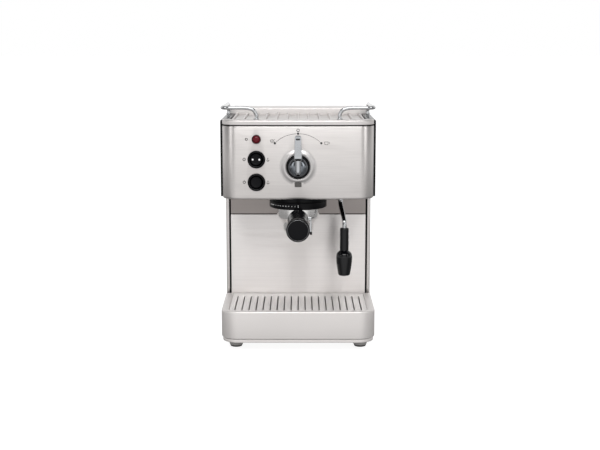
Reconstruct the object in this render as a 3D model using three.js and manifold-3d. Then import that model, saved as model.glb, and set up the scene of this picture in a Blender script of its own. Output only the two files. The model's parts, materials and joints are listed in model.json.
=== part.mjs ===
// Pump espresso machine, built as an assembly of separate pieces.
// Millimetres. X is to the right, Y to the rear and Z up. The front panel's foremost point is at
// Y = 0 while the pieces are made, and the whole group is then moved so that the middle of its
// footprint is the origin.
import * as THREE from "three";
import { mergeVertices } from "three/addons/utils/BufferGeometryUtils.js";
import Module from "manifold-3d";

const wasm = await Module();
wasm.setup();

// ---------- Driving dimensions ----------
const GAP = 0.3; // clearance between neighbouring pieces
const OVER = 1; // how far a cutter runs past the face that it cuts
const SHEET = 2; // thickness of the sheet metal

const BODY_HALF = 100; // half the width over the black head covers and the column
const FRONT_HALF = 97.5; // half the width of the front panel
const REAR_Y = 262; // back of the rear cover
const REAR_MOST_Y = 265; // back of the cord inlet
const HANDLE_END_Y = -75; // front of the portafilter handle

const FOOT_TOP = 12;
const PLINTH_TOP = 17.2;
const TRAY_HALF = 100.7;
const TRAY_BOTTOM = 17.5;
const TRAY_TOP = 55;
const TRAY_DEPTH = 111.5;
const GRILLE_HALF = 90;
const SLOT_PITCH = 9.2;
const SLOT_WIDTH = 1.6;
const SLOT_COUNT = 19;

const COLUMN_FRONT = 118;
const SPLASH_Y = 112;
const SPLASH_HALF = 93;
const SPLASH_TOP = 165.5;
const BULKHEAD_Y = 190;

const HEAD_BOTTOM = 201.7;
const HEAD_FLOOR = 203;
const HEAD_FLOOR_TOP = 205;
const PANEL_TOP = 295.1;
const PANEL_CORNER = 19;
const PANEL_BOW = 3;
const HEAD_SIDE_Y = PANEL_CORNER + PANEL_BOW; // where the front panel meets the side covers

const RIM_BOTTOM = 296.3;
const RIM_TOP = 303.3;
const PAN_HALF = 88;
const PAN_FLOOR = 300;
const RIB_PITCH = 14.1;
const RIB_COUNT = 13;
const BLOCK_HALF = 94;
const BLOCK_FRONT = 151;
const BLOCK_TOP = 310;
const LID_FRONT = 197;

const GROUP_Y = 55; // the vertical axis of group head and portafilter, at X = 0
const COLLAR_RADIUS = 38;
const COLLAR_BOTTOM = 185;
const UNLOCK_ANGLE = 50; // degrees that the portafilter turns to unlock
const EAR_HALF_ANGLE = 17;
const EAR_RADIUS = 33.8;
const PORTAFILTER_RIM = 192.9;
const HANDLE_Z = 174;

const WAND_X = 56.4;
const WAND_Y = 66;
const WAND_LOW_X = 61;
const WAND_LOW_Y = 42;
const WAND_RADIUS = 3;

const KNOB_Z = 243.9;
const SWITCH_X = -53;
const LAMP_Z = 278.7;
const POWER_Z = 253;
const BREW_Z = 223.9;
const ROCKER_TILT = 7; // degrees that a rocker rests to one side

const TANK_HALF = 78;
const TANK_FRONT = 198;
const TANK_REAR = 256;
const TANK_BOTTOM = 95.6;
const TANK_TOP = 296;
const VALVE_Y = 227;
const LID_PIN_Y = 258.6;
const LID_PIN_Z = 303.8;

const PUMP_X = -40;
const PUMP_Y = 155;

const ROUND = 24; // sides of the larger round pieces
const SMALL_ROUND = 16;
const HOSE_SIDES = 8;

// ---------- Materials ----------
const finish = (color, roughness, metalness) => new THREE.MeshStandardMaterial({ color, roughness, metalness });
const brushedSteel = finish(0xcfcac6, 0.35, 0.9);
const paleSteel = finish(0xd8d2cd, 0.4, 0.6);
const taupeSteel = finish(0x8f8782, 0.45, 0.7);
const chrome = finish(0xdcdcdc, 0.08, 1);
const castMetal = finish(0xbdbab6, 0.3, 0.95);
const blackPlastic = finish(0x15161a, 0.4, 0);
const darkPlastic = finish(0x2b2b2e, 0.6, 0);
const rubber = finish(0x1b1b1b, 0.9, 0);
const redLens = finish(0x8c0f18, 0.15, 0);
const whitePlastic = finish(0xe8e6e2, 0.5, 0);
const brass = finish(0xb99a55, 0.3, 0.9);
const tankPlastic = new THREE.MeshStandardMaterial({
  color: 0xbfc8cc,
  roughness: 0.15,
  metalness: 0,
  transparent: true,
  opacity: 0.45,
});

// ---------- Solids ----------

/** Makes a solid that can be cut and joined from a closed three.js geometry. */
function solidOf(geometry) {
  const bare = geometry.clone();
  bare.deleteAttribute("normal");
  bare.deleteAttribute("uv");
  const merged = mergeVertices(bare, 1e-4);
  const position = merged.attributes.position;
  const [a, b, c] = [new THREE.Vector3(), new THREE.Vector3(), new THREE.Vector3()];
  const triangles = [];
  let volume = 0;
  for (let i = 0; i < merged.index.count; i += 3) {
    const corners = [0, 1, 2].map((k) => merged.index.getX(i + k));
    if (new Set(corners).size < 3) continue;
    [a, b, c].forEach((point, k) => point.fromBufferAttribute(position, corners[k]));
    volume += a.dot(b.clone().cross(c));
    triangles.push(corners);
  }
  const outward = volume < 0 ? triangles.map(([p, q, r]) => [p, r, q]) : triangles;
  const mesh = new wasm.Mesh({
    numProp: 3,
    vertProperties: new Float32Array(position.array),
    triVerts: new Uint32Array(outward.flat()),
  });
  return new wasm.Manifold(mesh);
}

/** Turns a solid back into a three.js geometry. */
function geometryOf(solid) {
  const { vertProperties, triVerts, numProp } = solid.getMesh();
  const points = new Float32Array((vertProperties.length / numProp) * 3);
  for (let i = 0; i < points.length; i += 1) {
    points[i] = vertProperties[Math.floor(i / 3) * numProp + (i % 3)];
  }
  const geometry = new THREE.BufferGeometry();
  geometry.setAttribute("position", new THREE.BufferAttribute(points, 3));
  geometry.setIndex(Array.from(triVerts));
  geometry.computeVertexNormals();
  return geometry;
}

const joined = (first, ...others) => others.reduce((whole, part) => whole.add(part), first);
const cut = (first, ...others) => others.reduce((whole, part) => whole.subtract(part), first);

/** A box between three pairs of limits. */
function block([x0, x1], [y0, y1], [z0, z1]) {
  const geometry = new THREE.BoxGeometry(x1 - x0, y1 - y0, z1 - z0);
  geometry.translate((x0 + x1) / 2, (y0 + y1) / 2, (z0 + z1) / 2);
  return solidOf(geometry);
}

/** A plan outline, given as [x, y] points, raised between two heights. */
function prism(outline, [z0, z1]) {
  const shape = new THREE.Shape(outline.map(([x, y]) => new THREE.Vector2(x, y)));
  const geometry = new THREE.ExtrudeGeometry(shape, { depth: z1 - z0, bevelEnabled: false });
  geometry.translate(0, 0, z0);
  return solidOf(geometry);
}

/** A side outline, given as [y, z] points, drawn out between two X values. */
function prismAlongX(outline, [x0, x1]) {
  const shape = new THREE.Shape(outline.map(([y, z]) => new THREE.Vector2(y, z)));
  const geometry = new THREE.ExtrudeGeometry(shape, { depth: x1 - x0, bevelEnabled: false });
  const toSide = new THREE.Matrix4().makeBasis(
    new THREE.Vector3(0, 1, 0),
    new THREE.Vector3(0, 0, 1),
    new THREE.Vector3(1, 0, 0),
  );
  geometry.applyMatrix4(toSide);
  geometry.translate(x0, 0, 0);
  return solidOf(geometry);
}

/** A [radius, z] profile turned about a vertical axis. */
function turned(profile, x, y, sides = ROUND) {
  const geometry = new THREE.LatheGeometry(profile.map(([r, z]) => new THREE.Vector2(r, z)), sides);
  geometry.rotateX(Math.PI / 2);
  geometry.translate(x, y, 0);
  return solidOf(geometry);
}

/** A [radius, y] profile turned about an axis that runs to the rear. */
function turnedAlongY(profile, x, z, sides = ROUND) {
  const geometry = new THREE.LatheGeometry(profile.map(([r, y]) => new THREE.Vector2(r, y)), sides);
  geometry.translate(x, 0, z);
  return solidOf(geometry);
}

/** A [radius, x] profile turned about an axis that runs to the right. */
function turnedAlongX(profile, y, z, sides = SMALL_ROUND) {
  const geometry = new THREE.LatheGeometry(profile.map(([r, x]) => new THREE.Vector2(r, x)), sides);
  geometry.rotateZ(-Math.PI / 2);
  geometry.translate(0, y, z);
  return solidOf(geometry);
}

/** The profile of a plain round bar. */
const bar = (radius, low, high) => [[0, low], [radius, low], [radius, high], [0, high]];

/** The profile of a plain ring, closed on itself. */
const ring = (inner, outer, low, high) => [
  [inner, low], [outer, low], [outer, high], [inner, high], [inner, low],
];

/** A round rod or hose along a smooth curve through the given [x, y, z] points. */
function rod(points, radius, sides, steps) {
  const curve = new THREE.CatmullRomCurve3(points.map((p) => new THREE.Vector3(...p)), false, "centripetal");
  const section = new THREE.Shape();
  for (let i = 0; i < sides; i += 1) {
    const turn = (2 * Math.PI * i) / sides;
    const corner = [radius * Math.cos(turn), radius * Math.sin(turn)];
    if (i === 0) section.moveTo(...corner);
    else section.lineTo(...corner);
  }
  return solidOf(new THREE.ExtrudeGeometry(section, { steps, extrudePath: curve, bevelEnabled: false }));
}

/** Points on an arc in plan, from one angle to another in degrees. */
function arc(x, y, radius, from, to, steps) {
  return Array.from({ length: steps + 1 }, (_, i) => {
    const angle = THREE.MathUtils.degToRad(from + ((to - from) * i) / steps);
    return [x + radius * Math.cos(angle), y + radius * Math.sin(angle)];
  });
}

/** A rectangle in plan, symmetric in X, with its own radius on the front and rear corners. */
function roundedPlan(half, front, rear, frontRadius, rearRadius, steps = 6) {
  return [
    ...arc(half - frontRadius, front + frontRadius, frontRadius, -90, 0, steps),
    ...arc(half - rearRadius, rear - rearRadius, rearRadius, 0, 90, steps),
    ...arc(rearRadius - half, rear - rearRadius, rearRadius, 90, 180, steps),
    ...arc(frontRadius - half, front + frontRadius, frontRadius, 180, 270, steps),
  ];
}

/** The head's bowed front in plan, set in by some distance, closed by a straight rear edge. */
function bowedPlan(inset, rear) {
  const half = FRONT_HALF - inset;
  const radius = PANEL_CORNER - inset;
  const bow = (x) => inset + PANEL_BOW * (x / FRONT_HALF) ** 2;
  const straight = half - radius;
  const right = [];
  for (let i = 1; i < 5; i += 1) {
    right.push([(straight * i) / 4, bow((straight * i) / 4)]);
  }
  for (let i = 1; i <= 6; i += 1) {
    const angle = (Math.PI / 2) * (i / 6);
    const x = straight + radius * Math.sin(angle);
    right.push([x, bow(x) + radius * (1 - Math.cos(angle))]);
  }
  right.push([half, rear]);
  const left = right.map(([x, y]) => [-x, y]).reverse();
  return [...left, [0, bow(0)], ...right];
}

/** Part of a ring in plan, between two angles in degrees, raised between two heights. */
function sector(inner, outer, [from, to], heights, x, y) {
  const steps = Math.max(2, Math.round(Math.abs(to - from) / 12));
  return prism([...arc(x, y, outer, from, to, steps), ...arc(x, y, inner, to, from, steps)], heights);
}

// ---------- The assembly ----------
const machine = new THREE.Group();
machine.position.y = -(REAR_MOST_Y + HANDLE_END_Y) / 2;

function piece(name, material, solid) {
  const mesh = new THREE.Mesh(geometryOf(solid), material);
  mesh.name = name;
  machine.add(mesh);
  return mesh;
}

// ---------- Base ----------
piece("base_plate", paleSteel, prism(roundedPlan(99.2, 2, 260, 20, 8), [FOOT_TOP + GAP, PLINTH_TOP]));

const footProfile = [[0, 0], [8.5, 0], [9.5, 1.5], [9.5, FOOT_TOP], [0, FOOT_TOP]];
for (const [end, y] of [["front", 35], ["rear", 235]]) {
  for (const [side, x] of [["left", -82.5], ["right", 82.5]]) {
    piece(`foot_${end}_${side}`, rubber, turned(footProfile, x, y, SMALL_ROUND));
  }
}

// The tray is one wide pan that slides out to the front, with a recess round its mouth for the grille.
const GRILLE_SEAT = 52.2;
piece("drip_tray", paleSteel, cut(
  prism(roundedPlan(TRAY_HALF, 0, TRAY_DEPTH, 22, 2), [TRAY_BOTTOM, TRAY_TOP]),
  prism(roundedPlan(GRILLE_HALF + GAP, 4, 109.3, 14, 2), [GRILLE_SEAT, TRAY_TOP + OVER]),
  prism(roundedPlan(GRILLE_HALF - 3, 7.5, 106, 12, 3), [TRAY_BOTTOM + 3.5, GRILLE_SEAT + OVER]),
));

const slots = Array.from({ length: SLOT_COUNT }, (_, i) => {
  const x = SLOT_PITCH * (i - (SLOT_COUNT - 1) / 2);
  return block([x - SLOT_WIDTH / 2, x + SLOT_WIDTH / 2], [9, 93], [GRILLE_SEAT - OVER, TRAY_TOP + OVER]);
});
piece("drip_grille", brushedSteel, cut(
  prism(roundedPlan(GRILLE_HALF, 4 + GAP, 109, 13.7, 1.7), [GRILLE_SEAT + GAP, TRAY_TOP - GAP]),
  ...slots,
));

// ---------- Column ----------
const columnHeights = [PLINTH_TOP + GAP, HEAD_FLOOR - GAP];
for (const [side, sign] of [["left", -1], ["right", 1]]) {
  const span = (inner, outer) => (sign > 0 ? [inner, outer] : [-outer, -inner]);
  piece(`column_${side}_panel`, brushedSteel, joined(
    block(span(BODY_HALF - SHEET, BODY_HALF), [COLUMN_FRONT, REAR_Y - SHEET - GAP], columnHeights),
    block(span(95.5, BODY_HALF - OVER), [COLUMN_FRONT, COLUMN_FRONT + SHEET], columnHeights),
    block(
      span(BODY_HALF - SHEET, BODY_HALF),
      [TRAY_DEPTH + 0.5, COLUMN_FRONT + OVER],
      [PLINTH_TOP + GAP, TRAY_TOP],
    ),
  ));
}

piece("splash_panel", brushedSteel, block(
  [-SPLASH_HALF, SPLASH_HALF],
  [SPLASH_Y, SPLASH_Y + 1.5],
  [PLINTH_TOP + GAP, SPLASH_TOP],
));
piece("upper_splash_panel", taupeSteel, block(
  [-SPLASH_HALF, SPLASH_HALF],
  [SPLASH_Y + 1.2, SPLASH_Y + 3.2],
  [SPLASH_TOP + 0.8, HEAD_FLOOR - GAP],
));

// The chassis is a bulkhead with two side walls, a shelf for the head floor and one for the pump.
const CHASSIS_HALF = 96.5;
const CHASSIS_SHELF = 200.5;
const CHASSIS_FRONT = 122;
const HOSE_HOLE = 6;
const PUMP_BASE = 60;
const hoseHole = (heights, x, y) => turned(bar(HOSE_HOLE, ...heights), x, y, SMALL_ROUND);
piece("chassis_frame", darkPlastic, cut(
  joined(
    block([-CHASSIS_HALF, CHASSIS_HALF], [BULKHEAD_Y, BULKHEAD_Y + 2.5], [PLINTH_TOP + GAP, RIM_BOTTOM]),
    block([-CHASSIS_HALF, CHASSIS_HALF], [CHASSIS_FRONT, BULKHEAD_Y + OVER], [CHASSIS_SHELF, HEAD_FLOOR - GAP]),
    block([-CHASSIS_HALF, 2 - CHASSIS_HALF], [CHASSIS_FRONT, BULKHEAD_Y + OVER], columnHeights),
    block([CHASSIS_HALF - 2, CHASSIS_HALF], [CHASSIS_FRONT, BULKHEAD_Y + OVER], columnHeights),
    block([PUMP_X - 22, PUMP_X + 22], [126, BULKHEAD_Y + OVER], [PUMP_BASE - 4, PUMP_BASE - GAP]),
  ),
  hoseHole([CHASSIS_SHELF - OVER, HEAD_FLOOR + OVER], PUMP_X, PUMP_Y),
  hoseHole([PUMP_BASE - 4 - OVER, PUMP_BASE + OVER], PUMP_X, PUMP_Y),
  turnedAlongY(bar(HOSE_HOLE, BULKHEAD_Y - OVER, BULKHEAD_Y + 4), PUMP_X / 2, 45, SMALL_ROUND),
));

// ---------- Head shell ----------
const headFloorHeights = [HEAD_FLOOR, HEAD_FLOOR_TOP];
piece("head_floor", darkPlastic, cut(
  joined(
    prism(bowedPlan(SHEET + GAP, HEAD_SIDE_Y + SHEET), headFloorHeights),
    block([0.1 - FRONT_HALF, FRONT_HALF - 0.1], [HEAD_SIDE_Y + GAP, BULKHEAD_Y - GAP], headFloorHeights),
  ),
  turned(bar(36, HEAD_FLOOR - OVER, HEAD_FLOOR_TOP + OVER), 0, GROUP_Y),
  turned(bar(4.2, HEAD_FLOOR - OVER, HEAD_FLOOR_TOP + OVER), WAND_X, WAND_Y, SMALL_ROUND),
  hoseHole([HEAD_FLOOR - OVER, HEAD_FLOOR_TOP + OVER], PUMP_X, PUMP_Y),
));

const panelHole = (radius, x, z) =>
  turnedAlongY(bar(radius, -OVER, PANEL_BOW + SHEET + OVER), x, z, SMALL_ROUND);
piece("front_panel", brushedSteel, cut(
  prism(bowedPlan(0, HEAD_SIDE_Y), [HEAD_BOTTOM, PANEL_TOP]),
  prism(bowedPlan(SHEET, HEAD_SIDE_Y + OVER), [HEAD_BOTTOM - OVER, PANEL_TOP + OVER]),
  panelHole(4, 0, KNOB_Z),
  panelHole(10, SWITCH_X, POWER_Z),
  panelHole(10, SWITCH_X, BREW_Z),
  panelHole(4.8, SWITCH_X, LAMP_Z),
));

const LEDGE_TOP = 302;
for (const [side, sign] of [["left", -1], ["right", 1]]) {
  const span = (inner, outer) => (sign > 0 ? [inner, outer] : [-outer, -inner]);
  const rear = REAR_Y - SHEET - GAP;
  piece(`${side}_head_cover`, blackPlastic, joined(
    block(span(FRONT_HALF + 0.2, BODY_HALF), [HEAD_SIDE_Y + GAP, rear], [HEAD_FLOOR, LEDGE_TOP]),
    block(span(PAN_HALF + GAP, BODY_HALF - 0.1), [HEAD_SIDE_Y + GAP, BLOCK_FRONT], [PAN_FLOOR, LEDGE_TOP]),
    block(span(BLOCK_HALF + 0.4, BODY_HALF - 0.1), [BLOCK_FRONT - OVER, rear], [PAN_FLOOR, LEDGE_TOP]),
  ));
}

// The warming tray has a wide rim at the front, a skirt below it and a ribbed pan behind.
const RIM_DEPTH = 16;
const PAN_BOTTOM = 298.6;
const ribs = Array.from({ length: RIB_COUNT }, (_, i) => {
  const x = RIB_PITCH * (i - (RIB_COUNT - 1) / 2);
  return block([x - 1.15, x + 1.15], [RIM_DEPTH - OVER, BLOCK_FRONT - GAP], [PAN_FLOOR - 0.5, RIM_TOP - 0.3]);
});
piece("warming_tray", brushedSteel, joined(
  cut(
    prism(bowedPlan(0, HEAD_SIDE_Y), [RIM_BOTTOM, RIM_TOP]),
    prism(bowedPlan(SHEET, HEAD_SIDE_Y + OVER), [RIM_BOTTOM - OVER, PAN_BOTTOM]),
    block([-PAN_HALF, PAN_HALF], [RIM_DEPTH, HEAD_SIDE_Y + OVER], [PAN_FLOOR, RIM_TOP + OVER]),
  ),
  block([-PAN_HALF, PAN_HALF], [HEAD_SIDE_Y - OVER, BLOCK_FRONT - GAP], [PAN_BOTTOM, PAN_FLOOR]),
  ...ribs,
));

// Each rail rises from the tray's rim, turns out to the corner, runs back and drops to the ledge.
const RAIL_RADIUS = 2.4;
for (const [side, sign] of [["left", -1], ["right", 1]]) {
  const route = [
    [53, 10, RIM_TOP + GAP], [53, 10, 309], [56.5, 10, 315], [64, 10, 317.6], [78, 10, 318],
    [88, 10, 318], [93.6, 12.6, 318], [96, 19, 318], [96, 60, 317.4], [96, 105, 316.6],
    [96, 136, 316], [96, 143.5, 313.4], [96, 146, 307], [96, 146, LEDGE_TOP + GAP],
  ];
  const points = route.map(([x, y, z]) => [sign * x, y, z]);
  piece(`cup_rail_${side}`, chrome, rod(points, RAIL_RADIUS, HOSE_SIDES, 34));
}

// ---------- Rear of the head ----------
piece("rear_top_cover", paleSteel, cut(
  prismAlongX([
    [BLOCK_FRONT + GAP, 299], [BLOCK_FRONT + GAP, BLOCK_TOP - 1.5], [BLOCK_FRONT + 1.8, BLOCK_TOP],
    [LID_FRONT - 0.5, BLOCK_TOP - 0.9], [LID_FRONT - 0.5, 299],
  ], [-BLOCK_HALF, BLOCK_HALF]),
  block(
    [2.5 - BLOCK_HALF, BLOCK_HALF - 2.5],
    [BLOCK_FRONT + 2.8, LID_FRONT - 3],
    [299 - OVER, BLOCK_TOP - 3.5],
  ),
));

const VENT_COUNT = 9;
const vents = Array.from({ length: VENT_COUNT }, (_, i) => {
  const z = 62 + 6 * i;
  return block([-45, 45], [REAR_Y - SHEET - OVER, REAR_Y + OVER], [z, z + 2.5]);
});
const INLET_X = 60;
const INLET_Z = 40;
piece("rear_cover", paleSteel, cut(
  block([0.1 - FRONT_HALF, FRONT_HALF - 0.1], [REAR_Y - SHEET, REAR_Y], [PLINTH_TOP + GAP, PAN_FLOOR - 0.4]),
  turnedAlongY(bar(6, REAR_Y - SHEET - OVER, REAR_Y + OVER), INLET_X, INLET_Z, SMALL_ROUND),
  ...vents,
));
piece("cord_inlet", blackPlastic, turnedAlongY([
  [3.5, 254], [5.6, 254], [5.6, REAR_Y + GAP], [9, REAR_Y + GAP], [8, REAR_MOST_Y], [3.5, REAR_MOST_Y],
  [3.5, 254],
], INLET_X, INLET_Z, SMALL_ROUND));

// ---------- Water tank ----------
const SEAT_TOP = TANK_BOTTOM - 0.4;
piece("tank_seat", darkPlastic, cut(
  block([-CHASSIS_HALF, CHASSIS_HALF], [BULKHEAD_Y + 2.8, REAR_Y - SHEET - GAP], [SEAT_TOP - 3, SEAT_TOP]),
  turned(bar(7, SEAT_TOP - 3 - OVER, SEAT_TOP + OVER), 0, VALVE_Y, SMALL_ROUND),
));

const TANK_WALL = 2.2;
const EAR_X = 60;
const EAR_HALF = 3;
const PIN_BORE = 1.4;
const tankEar = (x) => prismAlongX([
  [253, 288], [TANK_REAR, 288], [TANK_REAR, 300.5], [261, 301.8], [261, 305.4], [256.4, 305.4], [253, 301],
], [x - EAR_HALF, x + EAR_HALF]);
piece("water_tank", tankPlastic, cut(
  joined(
    cut(
      prism(roundedPlan(TANK_HALF, TANK_FRONT, TANK_REAR, 8, 8, 4), [TANK_BOTTOM, TANK_TOP]),
      prism(
        roundedPlan(TANK_HALF - TANK_WALL, TANK_FRONT + TANK_WALL, TANK_REAR - TANK_WALL, 6, 6, 4),
        [TANK_BOTTOM + 2.5, TANK_TOP + OVER],
      ),
    ),
    tankEar(-EAR_X),
    tankEar(EAR_X),
  ),
  turned(bar(4.2, TANK_BOTTOM - OVER, TANK_BOTTOM + 4), 0, VALVE_Y, SMALL_ROUND),
  turnedAlongX(bar(PIN_BORE, -70, 70), LID_PIN_Y, LID_PIN_Z),
));

// The lid's rear edge is a barrel round the pin, notched where the tank's two ears hold it.
const LID_BARREL = 2.9;
const LID_TOP = LID_PIN_Z + LID_BARREL;
const lidNotch = (x) => block([x - EAR_HALF - 0.5, x + EAR_HALF + 0.5], [252, 263], [296, 312]);
const lidSkirt = cut(
  block([-BLOCK_HALF, BLOCK_HALF], [LID_FRONT, 252], [297.5, LID_TOP - OVER]),
  block([SHEET - BLOCK_HALF, BLOCK_HALF - SHEET], [LID_FRONT + SHEET, 253], [297, LID_TOP]),
);
piece("tank_lid", paleSteel, cut(
  joined(
    prismAlongX([
      [LID_FRONT, LID_TOP - 3], [LID_FRONT, BLOCK_TOP - 1.5], [LID_FRONT + 1, BLOCK_TOP - 0.9],
      [LID_PIN_Y, LID_TOP], [LID_PIN_Y, LID_TOP - 2.4],
    ], [-BLOCK_HALF, BLOCK_HALF]),
    turnedAlongX(bar(LID_BARREL, -70, 70), LID_PIN_Y, LID_PIN_Z),
    lidSkirt,
  ),
  turnedAlongX(bar(PIN_BORE, -68, 68), LID_PIN_Y, LID_PIN_Z),
  lidNotch(-EAR_X),
  lidNotch(EAR_X),
));
piece("lid_hinge_pin", chrome, turnedAlongX(bar(1.2, -67.5, 67.5), LID_PIN_Y, LID_PIN_Z, 12));

const valveProfile = [[0, 88], [3, 88], [3.8, 89], [3.8, 98.5], [6.5, 98.5], [6.5, 100.5], [0, 101.5]];
piece("tank_valve", blackPlastic, turned(valveProfile, 0, VALVE_Y, SMALL_ROUND));

// ---------- Group head ----------
// Two lugs inside the collar hold the portafilter's ears, with entry gaps at the unlocked angle.
const LUG_TOP = PORTAFILTER_RIM - 4.3;
const lugStart = EAR_HALF_ANGLE + 5 - UNLOCK_ANGLE;
const lugEnd = 180 - UNLOCK_ANGLE - EAR_HALF_ANGLE - 5;
const lug = (turn) => sector(29.6, 35, [lugStart + turn, lugEnd + turn], [COLLAR_BOTTOM, LUG_TOP], 0, GROUP_Y);
piece("group_collar", blackPlastic, joined(
  turned([
    [34.6, COLLAR_BOTTOM], [COLLAR_RADIUS - 0.8, COLLAR_BOTTOM], [COLLAR_RADIUS, COLLAR_BOTTOM + 0.8],
    [COLLAR_RADIUS, 199], [COLLAR_RADIUS + 1, 199.5], [COLLAR_RADIUS + 1, HEAD_FLOOR - GAP],
    [34.6, HEAD_FLOOR - GAP], [34.6, COLLAR_BOTTOM],
  ], 0, GROUP_Y, 30),
  lug(0),
  lug(180),
));

const HEAD_FACE = 196.4;
const GASKET_BOTTOM = 194.2;
const GROUP_TOP = 206;
piece("group_head", brass, cut(
  turned([
    [0, HEAD_FACE], [22.5, HEAD_FACE], [22.5, 200], [30.4, 200], [30.4, 195], [34.1, 195],
    [34.1, GROUP_TOP], [0, GROUP_TOP],
  ], 0, GROUP_Y),
  turned(bar(2, HEAD_FACE - OVER, GROUP_TOP + OVER), 8, GROUP_Y, SMALL_ROUND),
));
piece("group_gasket", rubber, turned(ring(23, 30, GASKET_BOTTOM, 200 - GAP), 0, GROUP_Y));
piece("shower_screen", chrome, turned(bar(22, 195.2, HEAD_FACE - GAP), 0, GROUP_Y));

const BOILER_RADIUS = 34;
const BOILER_TOP = 252;
piece("boiler", castMetal, turned([
  [0, GROUP_TOP + GAP], [BOILER_RADIUS, GROUP_TOP + GAP], [BOILER_RADIUS, BOILER_TOP],
  [BOILER_RADIUS - 3, BOILER_TOP], [BOILER_RADIUS - 3, 210], [0, 210],
], 0, GROUP_Y));
const LID_CROWN = 258.5;
piece("boiler_lid", castMetal, turned([
  [0, BOILER_TOP + GAP], [36.5, BOILER_TOP + GAP], [36.5, 256], [20, LID_CROWN], [0, LID_CROWN],
], 0, GROUP_Y));
piece("heating_element", chrome, rod([
  [-14, GROUP_Y, 251.5], [-14, GROUP_Y, 235], [-12, GROUP_Y, 220], [0, GROUP_Y, 216],
  [12, GROUP_Y, 220], [14, GROUP_Y, 235], [14, GROUP_Y, 251.5],
], 3, HOSE_SIDES, 18));
piece("thermostat", blackPlastic, turned(bar(8, LID_CROWN + GAP, 267), 0, GROUP_Y, SMALL_ROUND));

// ---------- Portafilter, which turns as one with everything fixed to it ----------
const BODY_LOW = 152;
const BASKET_BORE = 25.6;
const ear = (turn) => sector(
  26.5,
  EAR_RADIUS,
  [turn - EAR_HALF_ANGLE, turn + EAR_HALF_ANGLE],
  [LUG_TOP + 0.4, PORTAFILTER_RIM],
  0,
  GROUP_Y,
);
const neck = turnedAlongY(bar(8, 19, GROUP_Y - 24), 0, HANDLE_Z, SMALL_ROUND);
piece("portafilter_body", castMetal, cut(
  joined(
    turned([
      [0, BODY_LOW], [19, BODY_LOW], [20, BODY_LOW + 1], [20.5, 164], [27.6, 171.5], [28, 173],
      [28, PORTAFILTER_RIM], [0, PORTAFILTER_RIM],
    ], 0, GROUP_Y),
    ear(0),
    ear(180),
    neck,
  ),
  turned([
    [0, 160], [16, 160], [18, 164.5], [BASKET_BORE, 172.2], [BASKET_BORE, PORTAFILTER_RIM + OVER],
    [0, PORTAFILTER_RIM + OVER],
  ], 0, GROUP_Y),
  turned(bar(4, BODY_LOW - OVER, 161), 0, GROUP_Y, SMALL_ROUND),
));

const BASKET_FLANGE = PORTAFILTER_RIM + GAP;
piece("filter_basket", chrome, turned([
  [0, 170.6], [23, 170.6], [25.2, 172.5], [25.2, BASKET_FLANGE], [27.8, BASKET_FLANGE],
  [27.8, BASKET_FLANGE + 0.7], [24.6, BASKET_FLANGE + 0.7], [24.6, 173], [22.8, 171.4], [0, 171.4],
], 0, GROUP_Y));

const spoutArm = (sign) => rod([
  [0, GROUP_Y, 147.5], [sign * 3.5, GROUP_Y, 146], [sign * 5.8, GROUP_Y, 143.5], [sign * 6.3, GROUP_Y, 139.5],
], 3.6, 10, 8);
piece("double_spout", castMetal, cut(
  joined(
    turned(bar(7.5, 142, BODY_LOW - GAP), 0, GROUP_Y, SMALL_ROUND),
    spoutArm(-1),
    spoutArm(1),
  ),
  turned(bar(3.5, 146, BODY_LOW + OVER), 0, GROUP_Y, SMALL_ROUND),
));

const HANDLE_ROOT = 18.7;
piece("portafilter_handle", blackPlastic, turnedAlongY([
  [0, HANDLE_ROOT], [9, HANDLE_ROOT], [12, 16.5], [13.4, 11], [13.6, 4], [13.4, -20], [13.8, -45], [14.6, -62],
  [14.6, HANDLE_END_Y + 1], [14, HANDLE_END_Y], [13.2, HANDLE_END_Y], [13.2, HANDLE_END_Y + 2.4],
  [0, HANDLE_END_Y + 2.4],
], 0, HANDLE_Z));
piece("handle_end_cap", darkPlastic, turnedAlongY([
  [0, HANDLE_END_Y + 0.2], [12.2, HANDLE_END_Y + 0.2], [12.9, HANDLE_END_Y + 0.8],
  [12.9, HANDLE_END_Y + 2.1], [0, HANDLE_END_Y + 2.1],
], 0, HANDLE_Z));

// The clip is a bent strip that lies along the right of the neck and flips up over the basket.
const CLIP_INNER = 14.4; // clears the handle's thick root
const CLIP_OUTER = 18.2;
const CLIP_PIVOT_Y = 24;
const CLIP_PIVOT_Z = 173.5;
const CLIP_PAD = 2.9; // half the side of the square pad round the pivot
piece("basket_clip", chrome, joined(
  prismAlongX([
    [CLIP_PIVOT_Y - CLIP_PAD, CLIP_PIVOT_Z - CLIP_PAD], [CLIP_PIVOT_Y + CLIP_PAD, CLIP_PIVOT_Z - CLIP_PAD],
    [CLIP_PIVOT_Y + CLIP_PAD, CLIP_PIVOT_Z + CLIP_PAD], [CLIP_PIVOT_Y - CLIP_PAD, CLIP_PIVOT_Z + CLIP_PAD],
  ], [8.6, CLIP_INNER + 0.6]),
  prismAlongX([
    [CLIP_PIVOT_Y - CLIP_PAD, CLIP_PIVOT_Z - 2.4], [CLIP_PIVOT_Y - 1, 153], [CLIP_PIVOT_Y + 2, 152],
    [CLIP_PIVOT_Y + CLIP_PAD, CLIP_PIVOT_Z - 2.4],
  ], [CLIP_INNER, CLIP_OUTER]),
));

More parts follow.
